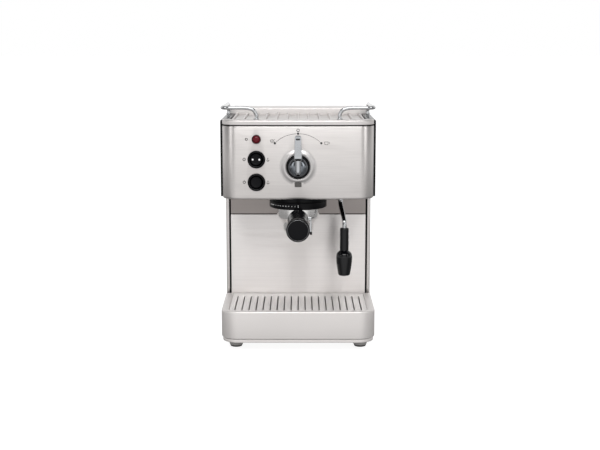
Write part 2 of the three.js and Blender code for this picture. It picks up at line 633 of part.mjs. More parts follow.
// ---------- Water path ----------
piece("pump", blackPlastic, joined(
  block([PUMP_X - 19, PUMP_X + 19], [PUMP_Y - 19, PUMP_Y + 19], [90, 130]),
  turned([
    [0, PUMP_BASE], [5, PUMP_BASE], [5, 68], [13, 70], [13, 150], [6, 152], [6, 165], [0, 165],
  ], PUMP_X, PUMP_Y, SMALL_ROUND),
));
piece("suction_hose", tankPlastic, rod([
  [0, VALVE_Y, 86], [0, VALVE_Y, 66], [-6, 215, 50], [PUMP_X / 2, 198, 45], [PUMP_X / 2, 184, 45],
  [-32, 162, 44], [PUMP_X, PUMP_Y, 50], [PUMP_X, PUMP_Y, PUMP_BASE - GAP],
], 3, HOSE_SIDES, 24));
piece("pressure_hose", whitePlastic, rod([
  [PUMP_X, PUMP_Y, 165 + GAP], [PUMP_X, PUMP_Y, 205], [-38, 146, 228], [-26, 118, 238],
  [-12, 100, 240], [-7, 89.5, 240],
], 2.5, HOSE_SIDES, 18));

const VALVE_LOW = 209;
piece("steam_valve", brass, joined(
  turned(bar(9, VALVE_LOW, 236), WAND_X, WAND_Y, 6),
  turned(bar(4, 235, 241), WAND_X, WAND_Y, SMALL_ROUND),
));
piece("steam_pipe", brass, rod([
  [20, 66, LID_CROWN + GAP], [20, 66, 266], [28, 66, 272], [46, 66, 272], [WAND_X, 66, 262],
  [WAND_X, 66, 241 + GAP],
], 2, HOSE_SIDES, 16));

// ---------- Steam wand ----------
const WAND_END = 99.5;
piece("steam_wand", chrome, rod([
  [WAND_X, WAND_Y, VALVE_LOW - 2], [WAND_X, WAND_Y, 192], [WAND_X + 0.4, WAND_Y - 2, 186],
  [60.2, 46, 171], [WAND_LOW_X, WAND_LOW_Y, 164], [WAND_LOW_X, WAND_LOW_Y, 152],
  [WAND_LOW_X, WAND_LOW_Y, WAND_END],
], WAND_RADIUS, 10, 28));
piece("wand_swivel_nut", chrome, cut(
  turned(bar(8.5, 194, HEAD_FLOOR - 0.4), WAND_X, WAND_Y, 6),
  turned(bar(4, 193, HEAD_FLOOR + OVER), WAND_X, WAND_Y, SMALL_ROUND),
));

const SLEEVE_BORE = 3.5;
const SLEEVE_LOW = 128.2;
piece("froth_sleeve", blackPlastic, turned([
  [SLEEVE_BORE, SLEEVE_LOW], [5.85, SLEEVE_LOW], [5.85, 157.2], [5.2, 158], [SLEEVE_BORE, 158],
  [SLEEVE_BORE, SLEEVE_LOW],
], WAND_LOW_X, WAND_LOW_Y, SMALL_ROUND));
piece("froth_nozzle", blackPlastic, turned([
  [1.2, 94.5], [6.4, 94.5], [7.8, 96], [9.3, 104], [10.5, 113], [10.7, 119], [9.6, 124.5], [6, 127.9],
  [SLEEVE_BORE, 127.9],
  [SLEEVE_BORE, WAND_END - 1], [1.2, WAND_END - 2], [1.2, 94.5],
], WAND_LOW_X, WAND_LOW_Y, 20));

// ---------- Controls ----------
// The knob is a domed hub with a lever blade that stands up in front of it.
const BLADE_FRONT = -23;
piece("selector_knob", chrome, joined(
  turnedAlongY([
    [0, -0.6], [15.5, -0.6], [15.5, -3], [13.3, -4.5], [12, -9], [8, -12.6], [0, -14.2],
  ], 0, KNOB_Z),
  prismAlongX([
    [-9, KNOB_Z + 4], [BLADE_FRONT + 6, KNOB_Z + 9.6], [BLADE_FRONT, KNOB_Z + 14],
    [BLADE_FRONT, KNOB_Z + 38], [BLADE_FRONT + 3, KNOB_Z + 41.3], [BLADE_FRONT + 6.5, KNOB_Z + 40],
    [-11, KNOB_Z + 16], [-6, KNOB_Z + 10],
  ], [-4.7, 4.7]),
));
// The dish behind the knob is cut straight at the bottom, where the badge sits.
const BADGE_TOP = 223.9;
piece("knob_dish", brushedSteel, cut(
  turnedAlongY([
    [15.8, -GAP], [23.4, -GAP], [23.4, -0.7], [21.8, -0.9], [19.6, -1.9], [17.6, -2.6], [15.8, -2.2],
    [15.8, -GAP],
  ], 0, KNOB_Z, 32),
  block([-6, 6], [-4, 0], [KNOB_Z - 25, BADGE_TOP + GAP]),
));
piece("selector_shaft", brass, turnedAlongY(bar(3, -GAP, 15), 0, KNOB_Z, 12));
piece("selector_switch", darkPlastic, cut(
  block([-13, 13], [SHEET + 0.6, 16], [KNOB_Z - 13, KNOB_Z + 13]),
  turnedAlongY(bar(3.5, SHEET, 16 + OVER), 0, KNOB_Z, SMALL_ROUND),
));

const BEZEL_BORE = 8.2;
const rockerProfile = [[0, -1], [5, -1.2], [6.6, -1.6], [7.1, -1.1], [7.1, 6], [0, 6]];
for (const [name, z] of [["power", POWER_Z], ["brew", BREW_Z]]) {
  piece(`${name}_bezel`, blackPlastic, turnedAlongY([
    [BEZEL_BORE, -1.8], [9, -2.4], [10.6, -2.4], [11.3, -1.6], [11.3, 0.2], [9.5, 0.2], [9.5, 10],
    [BEZEL_BORE, 10], [BEZEL_BORE, -1.8],
  ], SWITCH_X, z));
  const rocker = piece(`${name}_rocker`, darkPlastic, turnedAlongY(
    rockerProfile.map(([r, y]) => [r, y - 3]), 0, 0,
  ));
  rocker.position.set(SWITCH_X, 3, z);
  rocker.rotation.z = -THREE.MathUtils.degToRad(ROCKER_TILT);
}

piece("indicator_lamp", redLens, turnedAlongY([
  [0, -3], [3, -2.6], [5, -1.6], [5.9, -0.6], [5.9, 0.2], [4.3, 0.2], [4.3, 12], [0, 12],
], SWITCH_X, LAMP_Z, SMALL_ROUND));
piece("badge_plate", blackPlastic, block([-4.4, 4.4], [-1.1, -GAP], [BADGE_TOP - 6, BADGE_TOP]));

export default machine;
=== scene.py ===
"""Looks of a pump espresso machine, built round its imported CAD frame.

Lengths are in millimetres in the frame's axes: X to the right, Y to the rear, Z up.
"""
import json
import math
from collections import namedtuple

import bmesh
import bpy
from mathutils import Matrix, Vector


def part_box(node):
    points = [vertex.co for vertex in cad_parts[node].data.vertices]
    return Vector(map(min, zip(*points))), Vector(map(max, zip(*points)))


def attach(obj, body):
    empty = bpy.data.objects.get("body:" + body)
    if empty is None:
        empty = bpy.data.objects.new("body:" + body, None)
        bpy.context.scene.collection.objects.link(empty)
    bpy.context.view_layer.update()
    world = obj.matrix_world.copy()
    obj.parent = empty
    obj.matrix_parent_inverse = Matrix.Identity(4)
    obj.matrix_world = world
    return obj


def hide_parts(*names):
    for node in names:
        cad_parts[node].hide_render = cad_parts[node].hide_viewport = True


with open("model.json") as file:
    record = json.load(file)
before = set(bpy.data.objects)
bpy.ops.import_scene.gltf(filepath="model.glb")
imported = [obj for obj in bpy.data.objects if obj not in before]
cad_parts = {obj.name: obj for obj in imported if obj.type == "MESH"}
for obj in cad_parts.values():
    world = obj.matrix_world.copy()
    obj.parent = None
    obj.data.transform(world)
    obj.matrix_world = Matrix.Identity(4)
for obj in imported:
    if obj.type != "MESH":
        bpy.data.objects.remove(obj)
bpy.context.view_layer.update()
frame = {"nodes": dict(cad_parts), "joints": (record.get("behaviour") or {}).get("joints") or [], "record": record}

MM = 0.001
SHARP = math.radians(32)  # edges sharper than this are shaded as creases
SPECK = 1e-7  # metres: corners closer than this are one corner
SEAM = 1e-6  # the same for the seams that Blender leaves in a curve's mesh
SIDES = (("left", -1), ("right", 1))

Extent = namedtuple("Extent", "x0 y0 z0 x1 y1 z1 cx cy cz")


def extent(node):
    """A CAD node's box at rest, in millimetres, with its middle."""
    low, high = ([value / MM for value in corner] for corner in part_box(node))
    middle = [(a + b) / 2 for a, b in zip(low, high)]
    return Extent(*low, *high, *middle)


BODY_OF = {node: body for body, nodes in frame["record"]["behaviour"]["bodies"].items() for node in nodes}
SLOT_OF = {row["node"]: row["material_slot"] for row in frame["record"]["subparts"]}


# ---------- Outlines ----------

def arc(x, y, radius, start, end, steps):
    """Points on an arc, from one angle to another in degrees."""
    angles = [math.radians(start + (end - start) * i / steps) for i in range(steps + 1)]
    return [(x + radius * math.cos(a), y + radius * math.sin(a)) for a in angles]


def sector(x, y, inner, outer, start, end, steps):
    """A piece of a flat ring, as one closed outline."""
    return arc(x, y, outer, start, end, steps) + arc(x, y, inner, end, start, steps)


def quarter(steps):
    """A quarter turn in even steps, each as its sine and what its cosine has lost."""
    turns = [math.pi / 2 * i / steps for i in range(steps + 1)]
    return [(math.sin(turn), 1 - math.cos(turn)) for turn in turns]


def rounded_plan(x0, x1, y0, y1, front, rear=None, steps=10):
    """A closed rectangle with one radius on its low-Y corners and one on its high-Y corners."""
    rear = front if rear is None else rear
    return (
        arc(x1 - front, y0 + front, front, -90, 0, steps)
        + arc(x1 - rear, y1 - rear, rear, 0, 90, steps)
        + arc(x0 + rear, y1 - rear, rear, 90, 180, steps)
        + arc(x0 + front, y0 + front, front, 180, 270, steps)
    )


def softened(points, closed=False, steps=5):
    """Rounds the corners of a line. A point is (a, b), or (a, b, reach) where reach is the rounding."""
    result = []
    count = len(points)
    for i, point in enumerate(points):
        here = Vector(point[:2])
        reach = point[2] if len(point) > 2 else 0
        at_end = not closed and i in (0, count - 1)
        if not reach or at_end:
            result.append(tuple(here))
            continue
        before = Vector(points[i - 1][:2]) - here
        after = Vector(points[(i + 1) % count][:2]) - here
        start = here + before.normalized() * min(reach, before.length * 0.49)
        end = here + after.normalized() * min(reach, after.length * 0.49)
        for k in range(steps + 1):
            t = k / steps
            result.append(tuple((1 - t) ** 2 * start + 2 * t * (1 - t) * here + t * t * end))
    return result


def smooth_route(points, per_span):
    """A centripetal curve through the given points, sampled evenly between each pair."""
    nodes = [Vector(p) for p in points]
    nodes = [2 * nodes[0] - nodes[1]] + nodes + [2 * nodes[-1] - nodes[-2]]
    route = []
    for i in range(1, len(nodes) - 2):
        a, b, c, d = nodes[i - 1:i + 3]
        ab, bc, cd = ((q - p).length ** 0.5 for p, q in ((a, b), (b, c), (c, d)))
        leave = ((b - a) / ab - (c - a) / (ab + bc) + (c - b) / bc) * bc
        reach = ((c - b) / bc - (d - b) / (bc + cd) + (d - c) / cd) * bc
        for k in range(per_span):
            t = k / per_span
            route.append(
                (2 * t ** 3 - 3 * t ** 2 + 1) * b + (t ** 3 - 2 * t ** 2 + t) * leave
                + (3 * t ** 2 - 2 * t ** 3) * c + (t ** 3 - t ** 2) * reach
            )
    return route + [nodes[-2]]


# ---------- Meshes ----------

def cleaned(mesh, weld=None):
    """Turns a mesh's faces outwards, after it welds corners closer than weld if that is given."""
    work = bmesh.new()
    work.from_mesh(mesh)
    if weld:
        bmesh.ops.remove_doubles(work, verts=work.verts, dist=weld)
        bmesh.ops.dissolve_degenerate(work, edges=work.edges, dist=SPECK)
    bmesh.ops.recalc_face_normals(work, faces=work.faces)
    work.to_mesh(mesh)
    work.free()
    return mesh


def creased(mesh):
    """Shades a mesh smooth between its creases."""
    mesh.shade_smooth()
    mesh.set_sharp_from_angle(angle=SHARP)
    return mesh


def placed(name, mesh):
    """A linked object that shows a mesh, shaded between its creases."""
    obj = bpy.data.objects.new(name, mesh)
    bpy.context.scene.collection.objects.link(obj)
    creased(mesh)
    return obj


def mesh_object(name, points, faces):
    """An object from points in millimetres, with its faces turned outwards."""
    mesh = bpy.data.meshes.new(name)
    mesh.from_pydata([Vector(p) * MM for p in points], [], faces)
    return placed(name, cleaned(mesh, SPECK))


def loft(name, loops, ring=True, band=False):
    """Skins a row of outlines. ring closes each outline, and band joins the last outline to the first."""
    size = len(loops[0])
    points = [p for loop in loops for p in loop]
    faces = []
    rows = len(loops) if band else len(loops) - 1
    for i in range(rows):
        low, high = i * size, ((i + 1) % len(loops)) * size
        for j in range(size if ring else size - 1):
            k = (j + 1) % size
            faces.append((low + j, low + k, high + k, high + j))
    if not band:
        faces.append(tuple(reversed(range(size))))
        faces.append(tuple(range(len(points) - size, len(points))))
    if not ring:
        faces.append(tuple(i * size for i in range(len(loops))))
        faces.append(tuple(i * size + size - 1 for i in reversed(range(len(loops)))))
    return mesh_object(name, points, faces)


def at_height(outline, z):
    return [(x, y, z) for x, y in outline]


AXES = {
    "x": lambda radius, turn, along: (along, radius * math.cos(turn), radius * math.sin(turn)),
    "y": lambda radius, turn, along: (radius * math.cos(turn), along, radius * math.sin(turn)),
    "z": lambda radius, turn, along: (radius * math.cos(turn), radius * math.sin(turn), along),
}


def lathe(name, profile, axis, centre, sides=64):
    """Turns a profile of (radius, place along the axis[, rounding]) about an axis through centre.

    A profile that starts on the axis makes a solid, and any other is closed into a ring.
    """
    is_ring = profile[0][0] > 0
    line = softened(profile + profile[:1] if is_ring else profile)
    points, rows = [], []
    for radius, along in line:
        count = sides if radius > 1e-4 else 1
        rows.append([len(points) + i for i in range(count)])
        for i in range(count):
            x, y, z = AXES[axis](radius, 2 * math.pi * i / sides, along)
            points.append((x + centre[0], y + centre[1], z + centre[2]))
    faces = []
    for low, high in zip(rows, rows[1:]):
        for i in range(sides):
            j = (i + 1) % sides
            corners = [low[i % len(low)], low[j % len(low)], high[j % len(high)], high[i % len(high)]]
            unique = list(dict.fromkeys(corners))
            if len(unique) > 2:
                faces.append(unique)
    return mesh_object(name, points, faces)


def from_curve(name, curve):
    """The mesh that a curve makes, with its seams welded."""
    maker = bpy.data.objects.new(name + "_curve", curve)
    bpy.context.scene.collection.objects.link(maker)
    depsgraph = bpy.context.evaluated_depsgraph_get()
    mesh = bpy.data.meshes.new_from_object(maker.evaluated_get(depsgraph))
    mesh.name = name
    bpy.data.objects.remove(maker)
    return cleaned(mesh, SEAM)


STAND = {
    "xy": lambda u, v, w: (u, v, w),
    "xz": lambda u, v, w: (u, w, v),
    "yz": lambda u, v, w: (w, u, v),
}


def plate(name, outline, low, high, bevel, holes=(), plane="xy"):
    """A flat plate with rounded edges: an outline and its holes, thickened along the third axis."""
    curve = bpy.data.curves.new(name, "CURVE")
    curve.dimensions = "2D"
    curve.fill_mode = "BOTH"
    for line in (outline, *holes):
        spline = curve.splines.new("POLY")
        spline.points.add(len(line) - 1)
        spline.use_cyclic_u = True
        for point, (u, v) in zip(spline.points, line):
            point.co = (u * MM, v * MM, 0, 1)
    curve.extrude = ((high - low) / 2 - bevel) * MM
    curve.bevel_depth = bevel * MM
    curve.bevel_resolution = 2
    curve.offset = -bevel * MM
    mesh = from_curve(name, curve)
    middle = (high + low) / 2 * MM
    for vertex in mesh.vertices:
        u, v, w = vertex.co
        vertex.co = STAND[plane](u, v, w + middle)
    return placed(name, cleaned(mesh))


def rod(name, points, radius, per_span, sides):
    """A round rod along a smooth route through the given points, with flat ends."""
    curve = bpy.data.curves.new(name, "CURVE")
    curve.dimensions = "3D"
    curve.use_fill_caps = True
    curve.bevel_depth = radius * MM
    curve.bevel_resolution = sides
    route = smooth_route(points, per_span)
    spline = curve.splines.new("POLY")
    spline.points.add(len(route) - 1)
    for point, place in zip(spline.points, route):
        point.co = (*(place * MM), 1)
    return placed(name, from_curve(name, curve))


def joined(name, *objects):
    """One object from several, each of which stays a closed body in it."""
    whole = bmesh.new()
    for obj in objects:
        whole.from_mesh(obj.data)
        bpy.data.objects.remove(obj)
    mesh = bpy.data.meshes.new(name)
    whole.to_mesh(mesh)
    whole.free()
    return placed(name, mesh)


def bevel_edges(obj, width):
    """Rounds an object's sharp edges with real geometry."""
    bevel = obj.modifiers.new("rounded_edges", "BEVEL")
    bevel.width = width * MM
    bevel.segments = 3
    bevel.limit_method = "ANGLE"
    bevel.angle_limit = math.radians(35)
    bevel.harden_normals = False


def drilled(obj, *cutters):
    """Cuts other meshes out of an object and applies the cut."""
    for cutter in cutters:
        hole = obj.modifiers.new("hole", "BOOLEAN")
        hole.object = cutter
        hole.operation = "DIFFERENCE"
        hole.solver = "EXACT"
    depsgraph = bpy.context.evaluated_depsgraph_get()
    mesh = bpy.data.meshes.new_from_object(obj.evaluated_get(depsgraph))
    obj.modifiers.clear()
    obj.data = creased(mesh)
    for cutter in cutters:
        bpy.data.objects.remove(cutter)
    return obj


# ---------- Materials ----------
# A node or socket knows its own tree, as id_data, so patterns are passed about without it.

def drive(node, inputs):
    """Gives each named input of a node a value, or a link from another node's output."""
    for name, value in inputs.items():
        if isinstance(value, bpy.types.NodeSocket):
            node.id_data.links.new(value, node.inputs[name])
        else:
            node.inputs[name].default_value = value


def add_node(tree, kind, output, inputs, **settings):
    """Adds a node, sets it up and returns one of its outputs."""
    node = tree.nodes.new(f"ShaderNode{kind}")
    for name, value in settings.items():
        setattr(node, name, value)
    drive(node, inputs)
    return node.outputs[output]


def node_material(name, color, metallic, roughness):
    """A material with its shader and object coordinates."""
    material = bpy.data.materials.new(name)
    material.use_nodes = True
    shader = material.node_tree.nodes["Principled BSDF"]
    drive(shader, {"Base Color": (*color, 1), "Metallic": metallic, "Roughness": roughness})
    return material, shader, add_node(shader.id_data, "TexCoord", "Object", {})


def noise(coords, scale, detail, stretch=(1, 1, 1)):
    """A noise pattern, pulled out along any axis whose stretch is small."""
    tree = coords.id_data
    mapped = add_node(tree, "Mapping", "Vector", {"Vector": coords, "Scale": stretch})
    return add_node(tree, "TexNoise", "Fac", {"Vector": mapped, "Scale": scale, "Detail": detail})


def ranged(value, low, high, source=(0.3, 0.7)):
    """Maps a pattern to a range of plain values."""
    return add_node(value.id_data, "MapRange", "Result", {
        "Value": value, "From Min": source[0], "From Max": source[1], "To Min": low, "To Max": high,
    })


def tinted(value, dark, light, source=(0.3, 0.7)):
    """A colour that runs from dark to light as a pattern rises."""
    tree = value.id_data
    ramp = tree.nodes.new("ShaderNodeValToRGB")
    for stop, color, position in zip(ramp.color_ramp.elements, (dark, light), source):
        stop.color = (*color, 1)
        stop.position = position
    tree.links.new(value, ramp.inputs["Fac"])
    return ramp.outputs["Color"]


def bumped(value, strength, distance):
    """A surface raised by a pattern, over a distance in millimetres."""
    return add_node(value.id_data, "Bump", "Normal", {
        "Strength": strength, "Distance": distance * MM, "Height": value,
    })


def shade_of(color, factor):
    return tuple(min(1.0, part * factor) for part in color)


ALONG_X = (0.012, 1, 1)
ALONG_Y = (1, 0.012, 1)


def brushed(name, color, roughness, grain=ALONG_X, metallic=0.9, streaks=0.045, smear=0.6):
    """Satin sheet metal with fine brushing along one axis and faint broad clouding.

    A positive smear draws reflections out sideways, and a negative one up and down.
    """
    material, shader, coords = node_material(name, color, metallic, roughness)
    lines = noise(coords, 800, 5, grain)
    clouds = noise(coords, 14, 2)
    fine = tinted(lines, shade_of(color, 1 - streaks), shade_of(color, 1 + streaks))
    broad = tinted(clouds, (0.96, 0.955, 0.95), (1, 1, 1))
    drive(shader, {
        "Base Color": add_node(fine.id_data, "Mix", "Result", {"Factor": 1, "A": fine, "B": broad},
                               data_type="RGBA", blend_type="MULTIPLY"),
        "Roughness": ranged(lines, roughness - 0.06, roughness + 0.08),
        "Anisotropic": abs(smear),
        "Anisotropic Rotation": 0 if smear > 0 else 0.25,
        "Normal": bumped(lines, 0.25, 0.02),
    })
    return material


def polished(name, color, roughness, smudge=0.05):
    """Plated or cast metal with faint smudges in its gloss."""
    material, shader, coords = node_material(name, color, 1.0, roughness)
    smudges = noise(coords, 60, 4)
    drive(shader, {
        "Base Color": tinted(smudges, shade_of(color, 0.96), color),
        "Roughness": ranged(smudges, roughness, roughness + smudge),
        "Normal": bumped(noise(coords, 900, 3), 0.04, 0.02),
    })
    return material


def moulded(name, color, roughness, grain=0.08, scale=1800, coat=0.0, specular=0.5):
    """Moulded plastic, rubber or print with a fine surface grain."""
    material, shader, coords = node_material(name, color, 0.0, roughness)
    patches = noise(coords, 25, 3)
    drive(shader, {
        "Base Color": tinted(patches, shade_of(color, 0.93), shade_of(color, 1.06)),
        "Roughness": ranged(patches, roughness - 0.04, roughness + 0.06),
        "Specular IOR Level": specular,
        "Coat Weight": coat,
        "Coat Roughness": 0.08,
        "Normal": bumped(noise(coords, scale, 3), grain, 0.03),
    })
    return material


def pearl_paint(name, color, roughness):
    """Smooth metallic paint on a moulded or pressed shell."""
    material, shader, coords = node_material(name, color, 0.4, roughness)
    clouds = noise(coords, 18, 2)
    drive(shader, {
        "Base Color": tinted(clouds, shade_of(color, 0.985), shade_of(color, 1.01)),
        "Roughness": ranged(noise(coords, 700, 2), roughness, roughness + 0.05),
        "Normal": bumped(noise(coords, 2400, 2), 0.03, 0.02),
    })
    return material


def clear_plastic(name, color, roughness, clear):
    """Translucent moulded plastic."""
    material, shader, coords = node_material(name, color, 0.0, roughness)
    flow = noise(coords, 40, 2)
    drive(shader, {
        "Transmission Weight": clear,
        "IOR": 1.45,
        "Roughness": ranged(flow, roughness, roughness + 0.06),
        "Normal": bumped(flow, 0.05, 0.1),
    })
    return material


FINISH = {
    "brushed_steel": brushed("brushed_steel", (0.57, 0.547, 0.536), 0.34, metallic=0.95, smear=-0.35),
    "pale_shell": pearl_paint("pale_shell", (0.69, 0.66, 0.645), 0.36),
    "taupe_sheet": brushed("taupe_sheet", (0.33, 0.3, 0.288), 0.42),
    "chrome": polished("chrome", (0.5, 0.505, 0.515), 0.05),
    "cast_metal": polished("cast_metal", (0.9, 0.885, 0.875), 0.14, smudge=0.06),
    "black_plastic": moulded("black_plastic", (0.003, 0.003, 0.004), 0.2, grain=0.03, specular=0.13),
    "dark_plastic": moulded("dark_plastic", (0.004, 0.004, 0.005), 0.4, grain=0.12, specular=0.1),
    "rubber": moulded("rubber", (0.3, 0.292, 0.285), 0.7, grain=0.3, scale=900, specular=0.3),
    "white_plastic": moulded("white_plastic", (0.72, 0.71, 0.69), 0.45),
    "brass": polished("brass", (0.72, 0.56, 0.28), 0.22),
    "red_lens": moulded("red_lens", (0.1, 0.002, 0.008), 0.1, grain=0.0, specular=0.25),
    "tank_plastic": clear_plastic("tank_plastic", (0.78, 0.84, 0.87), 0.06, 0.9),
}
# Variants of a slot's finish for one part of a piece.
# The splash panel's steel is painted lighter than brushed_steel: painted light that makes up for the dark
# reflections the panel catches.
SPLASH_STEEL_PAINTED_LIGHT = brushed("splash_steel_painted_light", (0.78, 0.75, 0.738), 0.36, streaks=0.03, smear=-0.85)
LENGTHWISE_STEEL = brushed("lengthwise_steel", (0.6, 0.575, 0.565), 0.36, ALONG_Y, 0.7)
GRILLE_STEEL = brushed("grille_steel", (0.86, 0.835, 0.82), 0.4, ALONG_Y, 0.3, 0.03)
SATIN_DISH = polished("satin_dish", (0.56, 0.542, 0.535), 0.36, smudge=0.06)
BADGE_GREY = moulded("badge_grey", (0.07, 0.065, 0.062), 0.45)
# The hub's chrome is painted much darker than the other chrome: a painted dark reflection of what the dome faces.
HUB_CHROME_PAINTED_REFLECTION = polished("hub_chrome_painted_reflection", (0.2, 0.215, 0.235), 0.2)
KNOB_CHROME = polished("knob_chrome", (0.54, 0.555, 0.575), 0.09)
GLOSS_BLACK = moulded("gloss_black", (0.002, 0.002, 0.003), 0.12, grain=0.02, specular=0.35)
# The foot soles are rubber coloured near black: painted shade under each foot.
SOLE_RUBBER_PAINTED_SHADE = moulded("sole_rubber_painted_shade", (0.06, 0.058, 0.056), 0.8, grain=0.3, scale=900, specular=0.2)
DULL_RING = polished("dull_ring", (0.2, 0.2, 0.205), 0.2)
PRINT_BLACK = moulded("print_black", (0.02, 0.02, 0.02), 0.6)
PRINT_GREY = moulded("print_grey", (0.015, 0.014, 0.014), 0.6, specular=0.2)
PRINT_WHITE = moulded("print_white", (0.8, 0.8, 0.8), 0.5)


def paint(obj, material):
    obj.data.materials.clear()
    obj.data.materials.append(material)


def add_detail(obj, node, material):
    """Gives a piece its material, and the body of the CAD node that it belongs to."""
    paint(obj, material)
    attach(obj, BODY_OF[node])


def dress(obj, node, material=None):
    """The same for the piece that stands in for its CAD node, in the slot's finish if none is given."""
    add_detail(obj, node, material or FINISH[SLOT_OF[node]])
    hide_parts(node)


# ---------- Base ----------
tray = extent("drip_tray")
grille = extent("drip_grille")
plinth = extent("base_plate")


def make_base_plate():
    """The plinth under tray and column, with soft lower and upper edges."""
    def outline(inset):
        return rounded_plan(plinth.x0 + inset, plinth.x1 - inset, plinth.y0 + inset, plinth.y1 - inset,
                            20 - inset, 8 - inset)
    low, top = plinth.z0, plinth.z1
    edge = [(1.2, low), (0.3, low + 0.4), (0, low + 1.2), (0, top - 1.3), (0.5, top - 0.4), (1.6, top)]
    dress(loft("base_plate_shell", [at_height(outline(inset), z) for inset, z in edge]), "base_plate")


def make_feet():
    """Turned rubber feet with a moulded groove and a dished sole."""
    for node in ("foot_front_left", "foot_front_right", "foot_rear_left", "foot_rear_right"):
        foot = extent(node)
        radius = (foot.x1 - foot.x0) / 2
        centre = (foot.cx, foot.cy, 0)
        cup = [
            (0, 2), (radius - 1.6, 2, 0.3), (radius - 0.4, 3.4, 0.8), (radius, 7, 1.5),
            (radius, foot.z1, 0.4), (0, foot.z1),
        ]
        dress(lathe(f"{node}_cup", cup, "z", centre), node)
        sole = [
            (0, 0.8), (radius - 5, 0.8, 0.5), (radius - 4, 0, 0.4), (radius - 2, 0, 0.6),
            (radius - 1.2, 2.2, 0.3), (0, 2.2),
        ]
        # The sole's near-black colour is painted shade where each foot meets the floor.
        add_detail(lathe(f"{node}_sole", sole, "z", centre), node, SOLE_RUBBER_PAINTED_SHADE)


def make_drip_tray():
    """The deep pan: a soft rim, a step that holds the grille and a hollow below it."""
    corner = 22

    def outline(inset):
        return rounded_plan(tray.x0 + inset, tray.x1 - inset, tray.y0 + inset, tray.y1 - min(inset, 1.6),
                            corner - inset, 1.2, 14)

    rim = 3
    loops = [at_height(outline(1.5), tray.z0), at_height(outline(0.5), tray.z0 + 0.4),
             at_height(outline(0), tray.z0 + 1.4)]
    loops += [at_height(outline(rim * 0.8 * lost), tray.z1 - rim * (1 - sine)) for sine, lost in quarter(8)]
    seat = grille.z0 - 0.15
    # The pan, as how far it is wider than the grille, its front and rear corners, and its height.
    pan = [
        (0.9, 14.6, 2.6, tray.z1), (0.4, 14.1, 2.1, tray.z1 - 0.5), (0.35, 14.05, 2.05, seat),
        (-2.6, 11.6, 2, seat), (-3.2, 11, 2, seat - 0.6), (-5.5, 9, 4, tray.z0 + 7),
        (-8, 7, 5, tray.z0 + 3.8), (-12, 5, 5, tray.z0 + 3.5),
    ]
    for grow, front, rear, z in pan:
        opening = rounded_plan(grille.x0 - grow, grille.x1 + grow, grille.y0 - grow, grille.y1 + grow,
                               front, rear, 14)
        loops.append(at_height(opening, z))
    dress(loft("drip_tray_shell", loops), "drip_tray")


def make_grille():
    """The slotted plate, with a rounded end on every slot."""
    pitch = 9.2
    half_width = 0.8
    count = 19
    slots = []
    for i in range(count):
        x = grille.cx + pitch * (i - (count - 1) / 2)
        front, rear = grille.y0 + 4.7, grille.y1 - 16
        slots.append(
            arc(x, rear - half_width, half_width, 0, 180, 8)
            + arc(x, front + half_width, half_width, 180, 360, 8)
        )
    outline = rounded_plan(grille.x0, grille.x1, grille.y0, grille.y1, 13.7, 1.7, 12)
    slotted = plate("drip_grille_plate", outline, grille.z0, grille.z1, 0.45, slots)
    dress(slotted, "drip_grille", GRILLE_STEEL)


# ---------- Column ----------

def rectangle(u0, u1, v0, v1, radius=0.8):
    return rounded_plan(u0, u1, v0, v1, radius, steps=4)


def side_of(box, sign):
    """A box's right side in X for a positive sign, and its left side for a negative one."""
    return box.x1 if sign > 0 else box.x0


def make_column():
    """Side panels with a folded front edge, and the two sheets between them."""
    for side, sign in SIDES:
        node = f"column_{side}_panel"
        sheet = extent(node)
        outer = side_of(sheet, sign)
        fold_y = tray.y1 + 6.5
        section = softened([
            (outer, sheet.y1), (outer, fold_y, 1.6), (outer - sign * 4.5, fold_y, 0.6),
            (outer - sign * 4.5, fold_y + 1.9, 0.4), (outer - sign * 2, fold_y + 1.9, 0.8),
            (outer - sign * 2, sheet.y1),
        ], steps=6)
        fold = plate(f"{node}_fold", section, sheet.z0, sheet.z1, 0.25)
        skirt = plate(f"{node}_skirt", rectangle(sheet.y0, fold_y + 1, sheet.z0, tray.z1, 0.4),
                      *sorted((outer, outer - sign * 1.8)), 0.25, plane="yz")
        dress(joined(f"{node}_sheet", fold, skirt), node)
    for node in ("splash_panel", "upper_splash_panel"):
        sheet = extent(node)
        outline = rectangle(sheet.x0, sheet.x1, sheet.z0, sheet.z1)
        # The splash panel gets its steel painted lighter, as painted light.
        finish = SPLASH_STEEL_PAINTED_LIGHT if node == "splash_panel" else None
        dress(plate(f"{node}_sheet", outline, sheet.y0, sheet.y1, 0.3, plane="xz"), node, finish)


# ---------- Head shell ----------
panel = extent("front_panel")
rim_box = extent("warming_tray")
CORNER = 19
BOW = panel.y1 - panel.y0 - CORNER  # how far the front falls back from its middle to its sides
FRONT_STEPS = 14
PAN_HALF = 88


def front_line(half, radius, y_at, z):
    """An open line from left to right at one height, with rounded corners and its ends at the rear.

    y_at gives the front's place in Y at a distance across.
    """
    straight = half - radius
    right = [(straight * i / FRONT_STEPS, 0) for i in range(FRONT_STEPS + 1)]
    right += [(straight + radius * sine, radius * lost) for sine, lost in quarter(FRONT_STEPS)[1:]]
    right = [(x, y_at(x) + back) for x, back in right] + [(half, panel.y1)]
    return at_height([(-x, y) for x, y in reversed(right[1:])] + right, z)


def bow_at(x):
    return panel.y0 + BOW * (x / panel.x1) ** 2


def bowed(inset, z):
    """The head's bowed front, set in by inset."""
    return front_line(panel.x1 - inset, CORNER - inset, lambda x: bow_at(x) + inset, z)


def pan_line(grow, z):
    """The warming pan's mouth, which matches bowed() point for point."""
    return front_line(PAN_HALF + grow, 6, lambda x: panel.y0 + 16 - grow, z)


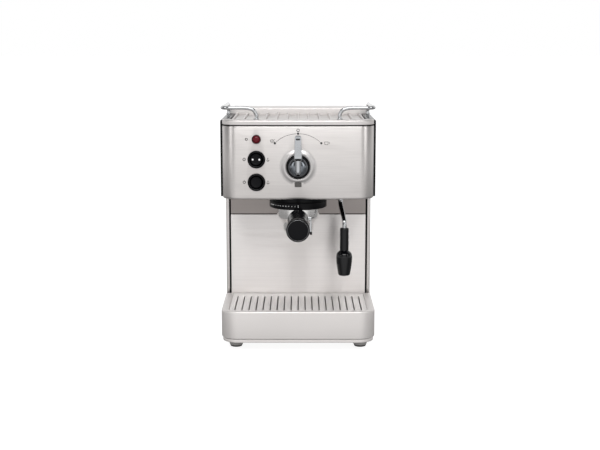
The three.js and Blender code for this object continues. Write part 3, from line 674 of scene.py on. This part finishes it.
def make_front_panel():
    """The bowed steel front, rolled under at its lower edge, with holes for the controls."""
    bottom, top = panel.z0, panel.z1
    roll = 3.2
    section = [(roll * (1 - sine) * 0.55, bottom + roll * lost) for sine, lost in quarter(6)]
    section += [(0, top - 0.9), (0.25, top - 0.3), (0.8, top), (1.8, top), (2, top - 0.3),
                (2, bottom + 0.4), (1.9, bottom)]
    sheet = loft("front_panel_sheet", [bowed(inset, z) for inset, z in section], ring=False, band=True)
    holes = []
    radii = {"selector_shaft": 4, "power_bezel": 10, "brew_bezel": 10, "indicator_lamp": 4.8}
    for node, radius in radii.items():
        centre = extent(node)
        profile = [(0, -3), (radius, -3), (radius, 8), (0, 8)]
        holes.append(lathe(f"{node}_hole", profile, "y", (centre.cx, panel.y0, centre.cz), sides=48))
    dress(drilled(sheet, *holes), "front_panel")


def make_warming_tray():
    """The tray's rim and skirt, its pan and its thirteen rounded ribs."""
    low, top = rim_box.z0, rim_box.z1
    floor = top - 3.3
    loops = [
        bowed(1.4, low), bowed(0.5, low + 0.15), bowed(0, low + 0.8), bowed(0, top - 2.4),
        bowed(0.35, top - 1.1), bowed(1.2, top - 0.3), bowed(2.4, top),
        pan_line(0.6, top), pan_line(0.1, top - 0.4), pan_line(-0.4, floor + 0.3), pan_line(-0.8, floor),
        pan_line(-2, floor), pan_line(-2, floor - 1.4), bowed(9, floor - 1.4),
        bowed(2, floor - 1.6), bowed(2, low),
    ]
    rim = loft("tray_rim", loops, ring=False, band=True)
    pan_outline = rounded_plan(0.1 - PAN_HALF, PAN_HALF - 0.1, panel.y0 + 17, rim_box.y1, 4, 0.5, 6)
    parts = [rim, plate("tray_pan", pan_outline, floor - 1.4, floor, 0.2)]
    rib_pitch, rib_count = 14.1, 13
    for i in range(rib_count):
        x = rib_pitch * (i - (rib_count - 1) / 2)
        outline = [(1.3, floor - 0.5), (1.25, floor + 1.6), (1.0, floor + 2.5), (0.55, floor + 3.0)]
        ring = [
            at_height(rounded_plan(x - half, x + half, panel.y0 + 19.8 - half, rim_box.y1 - 0.3,
                                   half * 0.98, steps=5), z)
            for half, z in outline
        ]
        parts.append(loft(f"tray_rib_{i}", ring))
    dress(joined("warming_tray_steel", *parts), "warming_tray", LENGTHWISE_STEEL)


def make_head_covers():
    """Black side covers with a ledge on top: a folded section with soft outer edges."""
    for side, sign in SIDES:
        node = f"{side}_head_cover"
        cover = extent(node)
        outer = side_of(cover, sign)

        def section(y, ledge):
            corners = softened([
                (0.3, cover.z0), (0, cover.z0 + 1, 0.6), (0, cover.z1, 2.2), (ledge, cover.z1, 0.5),
                (ledge, cover.z1 - 2, 0.3), (2.3, cover.z1 - 2, 0.8), (2.3, cover.z0),
            ], steps=4)
            return [(outer - sign * inward, y, z) for inward, z in corners]

        step_y = extent("rear_top_cover").y0 - 0.4
        front = [section(cover.y0 + 0.4, 11.4), section(cover.y0 + 0.8, 11.6), section(step_y, 11.6)]
        rear = [section(step_y, 5.5), section(cover.y1, 5.5)]
        whole = joined(f"{node}_shell", loft("front_part", front), loft("rear_part", rear))
        dress(whole, node)


def make_rails():
    """Bent chrome rails, each with a small flange where it meets the tray and the ledge."""
    floor, ledge = rim_box.z1, extent("left_head_cover").z1
    for side, sign in SIDES:
        node = f"cup_rail_{side}"
        rail = extent(node)
        radius = 2.4
        top = rail.z1 - radius - 0.06  # a little low, so that the rod's facets stay in the CAD box
        outside = side_of(rail, sign) * sign - radius
        inside = side_of(rail, -sign) * sign + radius
        front, rear = rail.y0 + radius, rail.y1 - radius
        route = [
            (inside, front, floor + 0.4), (inside, front, top - 9), (inside + 3.6, front, top - 3),
            (inside + 11, front, top - 0.5), (inside + 25, front, top), (outside - 8, front, top),
            (outside - 2.4, front + 2.6, top), (outside, front + 9, top), (outside, front + 50, top - 0.6),
            (outside, rear - 41, top - 1.4), (outside, rear - 10, top - 2),
            (outside, rear - 2.5, top - 4.6), (outside, rear, top - 11), (outside, rear, ledge + 0.4),
        ]
        bar = rod(f"{node}_bar", [(sign * x, y, z) for x, y, z in route], radius, 8, 6)
        flange = [(2.45, 0.3), (3.9, 0.3, 0.2), (3.7, 1.1, 0.4), (2.45, 1.5, 0.2)]
        feet = [
            lathe(f"{node}_foot", flange, "z", (sign * inside, front, floor), sides=32),
            lathe(f"{node}_heel", flange, "z", (sign * outside, rear, ledge), sides=32),
        ]
        dress(joined(f"{node}_chrome", bar, *feet), node)


def make_rear():
    """The raised block behind the tray, and a louvred rear cover."""
    block = extent("rear_top_cover")
    wall = 2.4
    slope = softened([
        (block.y0, block.z0), (block.y0, block.z1, 2.6), (block.y1, block.z1 - 0.9, 0.8),
        (block.y1, block.z0), (block.y1 - wall, block.z0), (block.y1 - wall, block.z1 - wall - 1),
        (block.y0 + wall, block.z1 - wall - 0.4), (block.y0 + wall, block.z0),
    ], steps=6)
    dress(plate("rear_top_cover_shell", slope, block.x0, block.x1, 0.8, plane="yz"), "rear_top_cover")

    cover = extent("rear_cover")
    inlet = extent("cord_inlet")
    outline = rounded_plan(cover.x0, cover.x1, cover.z0, cover.z1, 3, steps=6)
    slit_half, slit_end, slit_pitch, lowest = 45, 1.25, 6, 62  # half a slit's length, its end's radius
    holes = []
    for i in range(9):
        z = lowest + slit_pitch * i + slit_end
        right, left = (slit_half - slit_end, z, slit_end), (slit_end - slit_half, z, slit_end)
        holes.append(arc(*right, -90, 90, 6) + arc(*left, 90, 270, 6))
    holes.append(arc(inlet.cx, inlet.cz, 6, 0, 352.5, 47))
    dress(plate("rear_cover_sheet", outline, cover.y0, cover.y1, 0.35, holes, "xz"), "rear_cover")
    gland = [
        (3.5, cover.y0 - 5), (5.6, cover.y0 - 5, 0.5), (5.6, cover.y1 + 0.3), (9, cover.y1 + 0.3, 0.4),
        (8.4, inlet.y1, 1.0), (5, inlet.y1, 0.4), (3.5, inlet.y1 - 0.8, 0.4),
    ]
    dress(lathe("cord_inlet_gland", gland, "y", (inlet.cx, 0, inlet.cz), sides=48), "cord_inlet")


# ---------- Group head and portafilter ----------
collar = extent("group_collar")
GROUP = (collar.cx, collar.cy)
COLLAR_RADIUS = 38


def make_collar():
    """The black bayonet collar with its flange, grip rings, lugs and printed ticks."""
    low, tall = collar.z0, collar.z1 - collar.z0
    outside = COLLAR_RADIUS
    profile = [
        (34.6, 0), (outside - 1.2, 0, 0.6), (outside, 1, 0.8), (outside, 8.6, 0.2),
        (outside - 0.5, 9.1, 0.2), (outside - 0.5, 9.8, 0.2), (outside, 10.3, 0.2), (outside, 14.2, 0.3),
        (outside + 1, 14.8, 0.5), (outside + 1, tall, 0.3), (34.6, tall, 0.3),
    ]
    parts = [lathe("collar_ring", profile, "z", (*GROUP, low), sides=128)]
    for turn in (0, 180):
        outline = sector(*GROUP, 29.6, 34.9, turn - 28, turn + 108, 40)
        parts.append(plate(f"collar_lug_{turn}", outline, low, low + 3.6, 0.3))
    dress(joined("group_collar_ring", *parts), "group_collar")

    marks = []
    for i in range(9):
        heading = -90 - 6.2 * i
        height = 3.6 if i == 0 else 1.7 - 0.06 * i
        half_degrees = 0.5 if i < 4 else 0.9
        marks.append(collar_mark(f"tick_{i}", heading, half_degrees, low + 5.2, height))
    marks.append(collar_mark("tick_bar", -90 - 6.2 * 9 - 7, 7.5, low + 5.2, 1.1))
    add_detail(joined("collar_ticks", *marks), "group_collar", PRINT_WHITE)


def collar_mark(name, heading, half_degrees, z, height):
    """A printed mark on the collar, centred on a heading in degrees and a height."""
    outline = sector(*GROUP, COLLAR_RADIUS - 0.1, COLLAR_RADIUS + 0.12,
                     heading - half_degrees, heading + half_degrees, 8)
    return plate(name, outline, z - height / 2, z + height / 2, 0.02)


def make_portafilter():
    """The cast body with its ears and neck, the basket in it, the spout and the handle."""
    names = ("portafilter_body", "portafilter_handle", "filter_basket", "double_spout")
    body, handle, basket, spout = map(extent, names)
    low, top = body.z0, body.z1
    bowl = lathe("bowl", [
        (4, 1), (4.6, 0, 0.4), (18.6, 0, 1.5), (20, 3, 1.2), (20.6, 12, 3), (27.6, 20, 2.2), (28, 25, 1),
        (28, top - low, 0.8), (25.7, top - low, 0.4), (25.7, 20.4, 2), (18, 12.6, 2), (16, 8, 2),
        (4, 8, 0.4),
    ], "z", (*GROUP, low), sides=128)
    ears = []
    for turn in (0, 180):
        outline = sector(*GROUP, 27, 33.8, turn - 17, turn + 17, 16)
        ears.append(plate(f"ear_{turn}", outline, top - 3.9, top, 0.5))
    wall_y = GROUP[1] - 27.2
    neck = lathe("neck", [
        (0, handle.y1 + 0.3), (7.6, handle.y1 + 0.3, 0.5), (8, handle.y1 + 1.6, 0.6),
        (7.6, wall_y - 3.4, 1.5), (9.4, wall_y + 0.4, 1), (9.4, wall_y + 1.2), (0, wall_y + 1.2),
    ], "y", (GROUP[0], 0, handle.cz))
    flanks = []
    for sign in (-1, 1):
        outline = softened([
            (sign * 16, GROUP[1] - 20), (sign * 20, GROUP[1] - 18.5, 2), (sign * 23.5, GROUP[1] - 12, 1.5),
            (sign * 18, GROUP[1] - 14),
        ], closed=True)
        flanks.append(plate(f"flank_{sign}", outline, low + 19, low + 30, 0.8))
    dress(joined("portafilter_casting", bowl, neck, *ears, *flanks), "portafilter_body")

    deep = basket.z1 - basket.z0
    dress(lathe("filter_basket_shell", [
        (0, 0), (22.6, 0, 2.2), (25.2, 3, 1), (25.2, deep - 0.7, 0.3), (27.8, deep - 0.7, 0.2),
        (27.8, deep, 0.2), (24.6, deep, 0.5), (24.6, 3, 2), (22, 0.8, 1), (0, 0.8),
    ], "z", (*GROUP, basket.z0), sides=128), "filter_basket")

    parts = [lathe("spout_hub", [
        (3.5, -4), (3.5, 0, 0.3), (7.5, 0, 0.5), (7.5, -5, 1), (5.5, -9.5, 2), (0, -9.7), (0, -5),
        (3.5, -5, 0.4),
    ], "z", (*GROUP, spout.z1), sides=48)]
    for sign in (-1, 1):
        route = [(0, 8.2), (3.5, 6.6), (5.8, 4), (6.3, 0.2)]
        line = [(GROUP[0] + sign * x, GROUP[1], spout.z0 + z) for x, z in route]
        parts.append(rod(f"spout_arm_{sign}", line, 3.5, 10, 6))
    dress(joined("double_spout_casting", *parts), "double_spout")
    make_handle(handle)


def make_handle(handle):
    """The swelling black grip, a bright ring in its end and a domed cap."""
    long = handle.y1 - handle.y0
    radius = (handle.x1 - handle.x0) / 2
    root = (handle.cx, handle.y1, handle.cz)
    end = (handle.cx, handle.y0, handle.cz)
    dress(lathe("portafilter_handle_grip", [
        (0, 0), (8.8, 0, 0.6), (11.9, -2.2, 2.2), (13.4, -7.7, 3), (13.6, -14.7, 4), (13.35, -38.7, 10),
        (13.8, -63.7, 8), (radius, -80.7, 5), (radius, 1.6 - long, 1.2), (13.9, -long, 0.5),
        (13.3, -long, 0.2), (13.3, 2.4 - long), (0, 2.4 - long),
    ], "y", root, sides=96), "portafilter_handle")
    ring = [(12.3, 2.2), (12.3, 0.5, 0.3), (12.6, 0.15, 0.2), (13.1, 0.3, 0.2), (13.15, 2.2)]
    add_detail(lathe("handle_end_ring", ring, "y", end, sides=96), "handle_end_cap", DULL_RING)
    cap = [(0, 0.5), (8, 0.55, 3), (11.6, 0.9, 0.6), (12.2, 1.3, 0.3), (12.2, 2.2), (0, 2.2)]
    dress(lathe("handle_end_cap_disc", cap, "y", end, sides=96), "handle_end_cap")


def make_clip():
    """The basket clip: a bent chrome strip with a black thumb tip."""
    clip = extent("basket_clip")
    top, low = clip.z1, clip.z0
    side = softened([
        (clip.y0 + 0.3, top - 5.4), (clip.y0 + 1.6, low + 3, 1), (clip.y1 - 2.4, low + 2.6, 1),
        (clip.y1 - 0.2, top - 5.4),
    ], closed=True)
    strip = plate("clip_strip", side, clip.x1 - 3.2, clip.x1 - 0.6, 0.4, plane="yz")
    pad = plate("clip_pad", rounded_plan(clip.y0, clip.y1, top - 5.8, top, 1.4, steps=5),
                clip.x0, clip.x1 - 0.9, 0.3, plane="yz")
    dress(joined("basket_clip_strip", strip, pad), "basket_clip")
    outline = rounded_plan(clip.y0 + 1.3, clip.y1 - 2.2, low, low + 4.4, 0.8, steps=4)
    tip = plate("basket_clip_tip", outline, clip.x1 - 3, clip.x1, 0.4, plane="yz")
    add_detail(tip, "basket_clip", FINISH["black_plastic"])


# ---------- Steam wand ----------

def make_wand():
    """The bent wand, its nut, and the black froth sleeve and nozzle on it."""
    names = ("steam_wand", "wand_swivel_nut", "froth_sleeve", "froth_nozzle")
    wand, nut, sleeve, nozzle = map(extent, names)
    top_x, top_y = nut.cx, nut.cy
    low_x, low_y = sleeve.cx, sleeve.cy
    route = [
        (top_x, top_y, wand.z1), (top_x, top_y, wand.z1 - 15), (top_x + 0.4, top_y - 2, wand.z1 - 21),
        (low_x - 0.8, low_y + 4, wand.z0 + 71.5), (low_x, low_y, wand.z0 + 64.5),
        (low_x, low_y, wand.z0 + 52.5), (low_x, low_y, wand.z0),
    ]
    dress(rod("steam_wand_tube", route, 3, 14, 7), "steam_wand")
    dress(lathe("wand_swivel_nut_turned", [
        (4, 0), (6.2, 0, 0.5), (7.2, 1.6, 0.5), (7.2, nut.z1 - nut.z0, 0.3), (4, nut.z1 - nut.z0),
    ], "z", (top_x, top_y, nut.z0), sides=6), "wand_swivel_nut")
    long = sleeve.z1 - sleeve.z0
    dress(lathe("froth_sleeve_grip", [
        (3.5, 0), (5.6, 0, 0.2), (5.85, 0.6, 0.3), (5.85, long - 0.9, 0.4), (5.2, long, 0.3),
        (3.5, long, 0.2),
    ], "z", (low_x, low_y, sleeve.z0)), "froth_sleeve", GLOSS_BLACK)
    long = nozzle.z1 - nozzle.z0
    dress(lathe("froth_nozzle_bell", [
        (1.2, 0), (6.6, 0, 0.9), (7.9, 1.4, 1), (9.3, 9.5, 3), (10.5, 18, 3), (10.7, 25.5, 2),
        (9.8, 29.8, 1.6), (6, long, 0.6), (3.5, long, 0.2), (3.5, 4), (1.2, 3),
    ], "z", (low_x, low_y, nozzle.z0), sides=72), "froth_nozzle", GLOSS_BLACK)


# ---------- Controls ----------
shaft = extent("selector_shaft")
FACE = panel.y0  # the bowed panel's foremost place, from which the controls' depths are given
KNOB = (shaft.cx, FACE, shaft.cz)
ROCKER_REST = math.radians(7)  # each rocker rests tipped this far to its off side
PRINT_THICKNESS = 0.12


def make_selector():
    """The dished surround, the black ring, the domed hub and the lever blade in front of it."""
    knob = extent("selector_knob")
    dish = extent("knob_dish")
    bowl = lathe("dish_bowl", [
        (15.8, -0.3), (23.4, -0.3), (23.4, -0.7, 0.2), (21.8, -0.9, 0.8), (19.6, -1.9, 1.4),
        (17.6, -2.7, 1.2), (15.8, -2.2, 0.3),
    ], "y", KNOB, sides=128)
    flat = plate("dish_flat", rectangle(-7, 7, dish.z0 - 4, extent("badge_plate").z1 + 0.3, 0.2),
                 FACE - 6, FACE + 1, 0.05, plane="xz")
    dress(drilled(bowl, flat), "knob_dish", SATIN_DISH)

    ring = lathe("knob_black_ring", [
        (12.2, -0.7), (15.4, -0.7, 0.3), (15.3, -2.4, 0.6), (14.6, -3.2, 0.4), (13.2, -3.3, 0.3),
        (12.2, -2.8),
    ], "y", KNOB, sides=128)
    add_detail(ring, "selector_knob", FINISH["black_plastic"])
    hub = lathe("knob_hub", [
        (0, -1), (12.6, -1), (12.7, -4, 0.5), (12.3, -7.4, 2), (9.5, -11.6, 3), (4.5, -13.8, 2), (0, -14.2),
    ], "y", KNOB, sides=128)
    # The hub is drawn in chrome painted dark, as a painted reflection.
    dress(hub, "selector_knob", HUB_CHROME_PAINTED_REFLECTION)
    tongue = lathe("knob_tongue", [
        (0, -9), (2.6, -8.6, 1.2), (4.2, -5, 2.5), (4.2, 11), (0, 11),
    ], "z", (shaft.cx, FACE - 11.5, shaft.cz))
    add_detail(tongue, "selector_knob", KNOB_CHROME)
    add_detail(make_blade(knob), "selector_knob", KNOB_CHROME)
    slot_z = knob.z1 - 4.6
    mark = plate("knob_pointer_mark", rounded_plan(-2.6, 2.6, slot_z - 1.1, slot_z + 1.1, 0.5, steps=4),
                 knob.y0 - 0.02, knob.y0 + 0.5, 0.02, plane="xz")
    add_detail(mark, "selector_knob", PRINT_BLACK)


def make_blade(knob):
    """The lever: narrow at its tip, wider and rounded where it meets the hub."""
    front = knob.y0 + 0.05
    low, top = KNOB[2] + 9.4, knob.z1
    rows = []
    count = 16
    for i in range(count + 1):
        t = i / count
        z = low + (top - low) * t
        half = 5.2 - 1.0 * t
        tip = max(0.0, (t - 0.93) / 0.07)
        foot = max(0.0, 1 - t / 0.12)
        shrink = math.sqrt(max(0.0, 1 - 0.5 * tip ** 2 - 0.35 * foot ** 2))
        half *= shrink
        near = front + 1.8 * tip ** 2 + 3.0 * foot ** 2
        far = front + 5.2 + 7.5 * (1 - t) ** 1.6
        section = softened([
            (-half, near, 1.5), (half, near, 1.5), (half * 0.86, far, 1.2), (-half * 0.86, far, 1.2),
        ], closed=True, steps=6)
        rows.append(at_height(section, z))
    return loft("knob_blade", rows)


def make_rockers():
    """Round bezels with a raised lip, and dished rockers that tip in them."""
    for name, has_dots in (("power", True), ("brew", False)):
        bezel = extent(f"{name}_bezel")
        ring = [
            (8.2, 10), (8.2, -1.5, 0.6), (9.2, -2.4, 0.7), (10.4, -2.4, 0.7), (11.3, -1.2, 0.6),
            (11.3, 0.2), (9.5, 0.2), (9.5, 10),
        ]
        dress(lathe(f"{name}_bezel_ring", ring, "y", (bezel.cx, FACE, bezel.cz), sides=96), f"{name}_bezel")

        pivot_y = next(j for j in frame["joints"] if j["name"] == f"{name}_rocker_tip")["pos_m"][1]
        at_pivot = Matrix.Translation((bezel.cx * MM, pivot_y, extent(f"{name}_rocker").cz * MM))
        tipped = at_pivot @ Matrix.Rotation(-ROCKER_REST, 4, "Z")
        cap = lathe(f"{name}_rocker_cap", [
            (0, -3.7), (4, -3.8, 2), (6, -4.3, 0.8), (6.8, -4.5, 0.4), (7.1, -4, 0.3), (7.1, 3), (0, 3),
        ], "y", (0, 0, 0), sides=72)
        cap.data.transform(tipped)
        dress(cap, f"{name}_rocker")
        for sign in (-1, 1) if has_dots else ():
            profile = [(0, -4.35), (1.25, -4.35, 0.2), (1.25, -3.6), (0, -3.6)]
            dot = lathe(f"{name}_dot_{sign}", profile, "y", (sign * 4.3, 0, 0), sides=24)
            dot.data.transform(tipped)
            add_detail(dot, f"{name}_rocker", PRINT_WHITE)


def make_lamp():
    """A domed red lens in a dark rim."""
    lamp = extent("indicator_lamp")
    centre = (lamp.cx, FACE, lamp.cz)
    lens = [(0, -3), (2.2, -2.8, 1), (4, -1.9, 0.8), (4.7, -0.9, 0.4), (4.7, 0.1), (4.2, 0.3), (4.2, 12),
            (0, 12)]
    dress(lathe("indicator_lens", lens, "y", centre), "indicator_lamp")
    rim = [(4.8, 0.2), (4.8, -1.2, 0.3), (5.4, -1.5, 0.3), (5.9, -0.8, 0.3), (5.9, 0.2)]
    dark_red = moulded("lamp_rim", (0.035, 0.004, 0.007), 0.25, coat=0.4)
    add_detail(lathe("indicator_rim", rim, "y", centre), "indicator_lamp", dark_red)


def print_on_panel(name, outline, material=PRINT_GREY, holes=()):
    """A printed shape that lies on the bowed panel, from an outline in X and Z."""
    obj = plate(name, outline, 0, PRINT_THICKNESS, 0.02, holes, "xz")
    for vertex in obj.data.vertices:
        vertex.co.y += (bow_at(vertex.co.x / MM) - PRINT_THICKNESS) * MM
    add_detail(obj, "front_panel", material)


def band(x, z, radius, width, start, end, steps=40):
    """A flat arc of some width about a radius, as one closed outline."""
    return sector(x, z, radius - width / 2, radius + width / 2, start, end, steps)


def make_printing():
    """The selector's scale and plain pictograms beside the controls."""
    x, z = KNOB[0], KNOB[2]
    reach = 42
    for i, (start, end) in enumerate(((48, 87), (93, 132))):
        print_on_panel(f"scale_arc_{i}", band(x, z, reach, 0.45, start, end), PRINT_BLACK)
    for i, heading in enumerate((45.5, 90, 134.5)):
        turn = math.radians(heading)
        dot = arc(x + reach * math.cos(turn), z + reach * math.sin(turn), 1.5, 0, 345, 23)
        print_on_panel(f"scale_dot_{i}", dot, PRINT_BLACK)
    # Off: a small ring over the top dot. Steam: three waves. Water: a cup with a handle.
    print_on_panel("mark_ring", band(x, z + reach + 4.2, 1.7, 0.7, 0, 350))
    steam_x, steam_z = x - 32.6, z + 32.6
    for i in range(3):
        centre_x = steam_x + 2.0 * (i - 1)
        wave = [(centre_x + 0.7 * math.sin(k * 0.9), steam_z - 2.6 + 0.55 * k) for k in range(10)]
        ribbon = [(a - 0.3, b) for a, b in wave] + [(a + 0.3, b) for a, b in reversed(wave)]
        print_on_panel(f"mark_steam_{i}", ribbon)
    cup_x, cup_z = x + 36.4, z + 29.8
    cup = softened([(cup_x - 3.2, cup_z + 2), (cup_x - 2.6, cup_z - 2, 0.8), (cup_x + 1.6, cup_z - 2, 0.8),
                    (cup_x + 2.2, cup_z + 2)])
    inner = softened([(cup_x - 2.6, cup_z + 1.5), (cup_x - 2.1, cup_z - 1.5, 0.6),
                      (cup_x + 1.1, cup_z - 1.5, 0.6), (cup_x + 1.6, cup_z + 1.5)])
    print_on_panel("mark_cup", cup, holes=[inner])
    print_on_panel("mark_cup_handle", band(cup_x + 2.4, cup_z + 0.3, 1.2, 0.4, -80, 80, 12))
    switch_x = extent("power_bezel").cx
    lamp_z, power_z, brew_z = (extent(n).cz for n in ("indicator_lamp", "power_bezel", "brew_bezel"))
    print_on_panel("mark_lamp", band(switch_x - 12.6, lamp_z, 1.4, 0.8, 0, 350, 24))
    for i, height in enumerate((power_z, brew_z)):
        left, right = switch_x - 15.6, switch_x + 14.6
        print_on_panel(f"mark_left_ring_{i}", band(left, height, 1.6, 0.75, 120, 420, 24))
        left_bar = rectangle(left - 0.38, left + 0.38, height + 0.4, height + 2.4, 0.1)
        print_on_panel(f"mark_left_bar_{i}", left_bar)
        print_on_panel(f"mark_right_cup_{i}", band(right, height - 0.6, 1.4, 0.8, 180, 360, 12))
        right_bar = rectangle(right - 0.4, right + 0.4, height - 0.2, height + 2.2, 0.1)
        print_on_panel(f"mark_right_bar_{i}", right_bar)


def make_badge():
    """A small plain plate with rounded corners under the selector."""
    badge = extent("badge_plate")
    outline = rounded_plan(badge.x0, badge.x1, badge.z0, badge.z1, 0.9, steps=5)
    plain = plate("badge_plain_plate", outline, badge.y0, badge.y1, 0.25, plane="xz")
    dress(plain, "badge_plate", BADGE_GREY)


# ---------- Pieces that keep their CAD mesh ----------
KEPT_BEVEL = {
    "chassis_frame": 0.5, "head_floor": 0.4, "tank_seat": 0.5, "water_tank": 0.6, "tank_lid": 0.5,
    "lid_hinge_pin": 0.2, "tank_valve": 0.3, "group_head": 0.4, "group_gasket": 0.6, "shower_screen": 0.2,
    "boiler": 0.6, "boiler_lid": 0.6, "heating_element": 0.2, "thermostat": 0.5, "pump": 0.8,
    "suction_hose": 0.2, "pressure_hose": 0.2, "steam_valve": 0.6, "steam_pipe": 0.2,
    "selector_switch": 0.5, "selector_shaft": 0.3,
}


def dress_kept_nodes():
    """Inner and simple pieces keep their own mesh, with softened edges and a real material."""
    for node, width in KEPT_BEVEL.items():
        paint(frame["nodes"][node], FINISH[SLOT_OF[node]])
        bevel_edges(frame["nodes"][node], width)


# ---------- Stage ----------
CAMERA_PLACE = (0.00245, -1.512, 0.4004)
CAMERA_DIP = 9.28  # degrees below the horizon
LENS, SENSOR = 67.2, 36


def make_floor():
    """A wide white floor that runs out to the horizon and glows a little, so that it fades to white."""
    size = 30000
    low = extent("foot_front_left").z0
    corners = [(-size, -size, low), (size, -size, low), (size, size, low), (-size, size, low)]
    floor = mesh_object("floor", corners, [(0, 1, 2, 3)])
    material, shader, _ = node_material("floor_paint", (0.35, 0.35, 0.35), 0.0, 0.7)
    drive(shader, {"Emission Color": (1, 1, 1, 1), "Emission Strength": 0.86})
    paint(floor, material)
    floor.visible_diffuse = False
    floor.visible_glossy = False


def combined(operation, first, second):
    """One value from two, by a named operation of Blender's Math node."""
    return add_node(first.id_data, "Math", "Value", {0: first, 1: second}, operation=operation)


def make_world():
    """White ahead of the camera and just above the horizon, and dark higher up.

    Below the horizon only reflections see it: bright at the front and dim at the sides, so that
    polished and painted edges stay readable.
    """
    world = bpy.data.worlds.new("studio")
    world.use_nodes = True
    tree = world.node_tree
    background = tree.nodes["Background"]
    heading = add_node(tree, "TexCoord", "Generated", {})
    across, up = (add_node(tree, "SeparateXYZ", axis, {"Vector": heading}) for axis in "YZ")
    lifted = ranged(up, 0, 1, (-0.1, -0.07))
    lowered = ranged(up, 1, 0, (-0.1, -0.07))
    ahead = ranged(across, 0, 1, (0.2, 0.45))
    horizon = ranged(up, 1, 0, (0.07, 0.2))
    window = ranged(across, 1, 0.22, (-0.85, -0.45))
    above = combined("MULTIPLY", combined("MAXIMUM", ahead, horizon), lifted)
    below = combined("MULTIPLY", window, lowered)
    brightest = combined("MAXIMUM", above, below)
    shade = tinted(brightest, (0.1, 0.099, 0.098), (1, 1, 1), (0.0, 1.0))
    drive(background, {"Color": shade, "Strength": 1.0})
    bpy.context.scene.world = world


def softbox(name, place, target, size, power):
    """A rectangular area light that faces a target, with its size in metres."""
    light = bpy.data.lights.new(name, "AREA")
    light.shape = "RECTANGLE"
    light.size, light.size_y = size
    light.energy = power
    lamp = bpy.data.objects.new(name, light)
    lamp.location = place
    lamp.rotation_euler = (Vector(target) - Vector(place)).to_track_quat("-Z", "Y").to_euler()
    bpy.context.scene.collection.objects.link(lamp)


def make_lights():
    aim = (0, 0, 0.17)
    softbox("front_box", (0, -3.0, 1.3), aim, (3.0, 2.2), 15)
    softbox("high_box", (0, -1.9, 2.0), aim, (1.8, 1.1), 38)
    softbox("left_box", (-1.3, -1.0, 0.95), aim, (0.5, 1.0), 4)
    softbox("right_box", (1.3, -1.0, 0.95), aim, (0.5, 1.0), 4.5)
    softbox("overhead_box", (0, 0.1, 1.4), aim, (1.2, 0.9), 2)


def make_camera():
    camera = bpy.data.cameras.new("camera")
    camera.lens = LENS
    camera.sensor_width = SENSOR
    camera.clip_end = 100
    holder = bpy.data.objects.new("camera", camera)
    holder.location = CAMERA_PLACE
    holder.rotation_euler = (math.radians(90 - CAMERA_DIP), 0, 0)
    bpy.context.scene.collection.objects.link(holder)
    bpy.context.scene.camera = holder
    bpy.context.scene.view_settings.view_transform = "Standard"


for make in (
    make_base_plate, make_feet, make_drip_tray, make_grille, make_column, make_front_panel,
    make_warming_tray, make_head_covers, make_rails, make_rear, make_collar, make_portafilter, make_clip,
    make_wand, make_selector, make_rockers, make_lamp, make_printing, make_badge, dress_kept_nodes,
    make_floor, make_world, make_lights, make_camera,
):
    make()
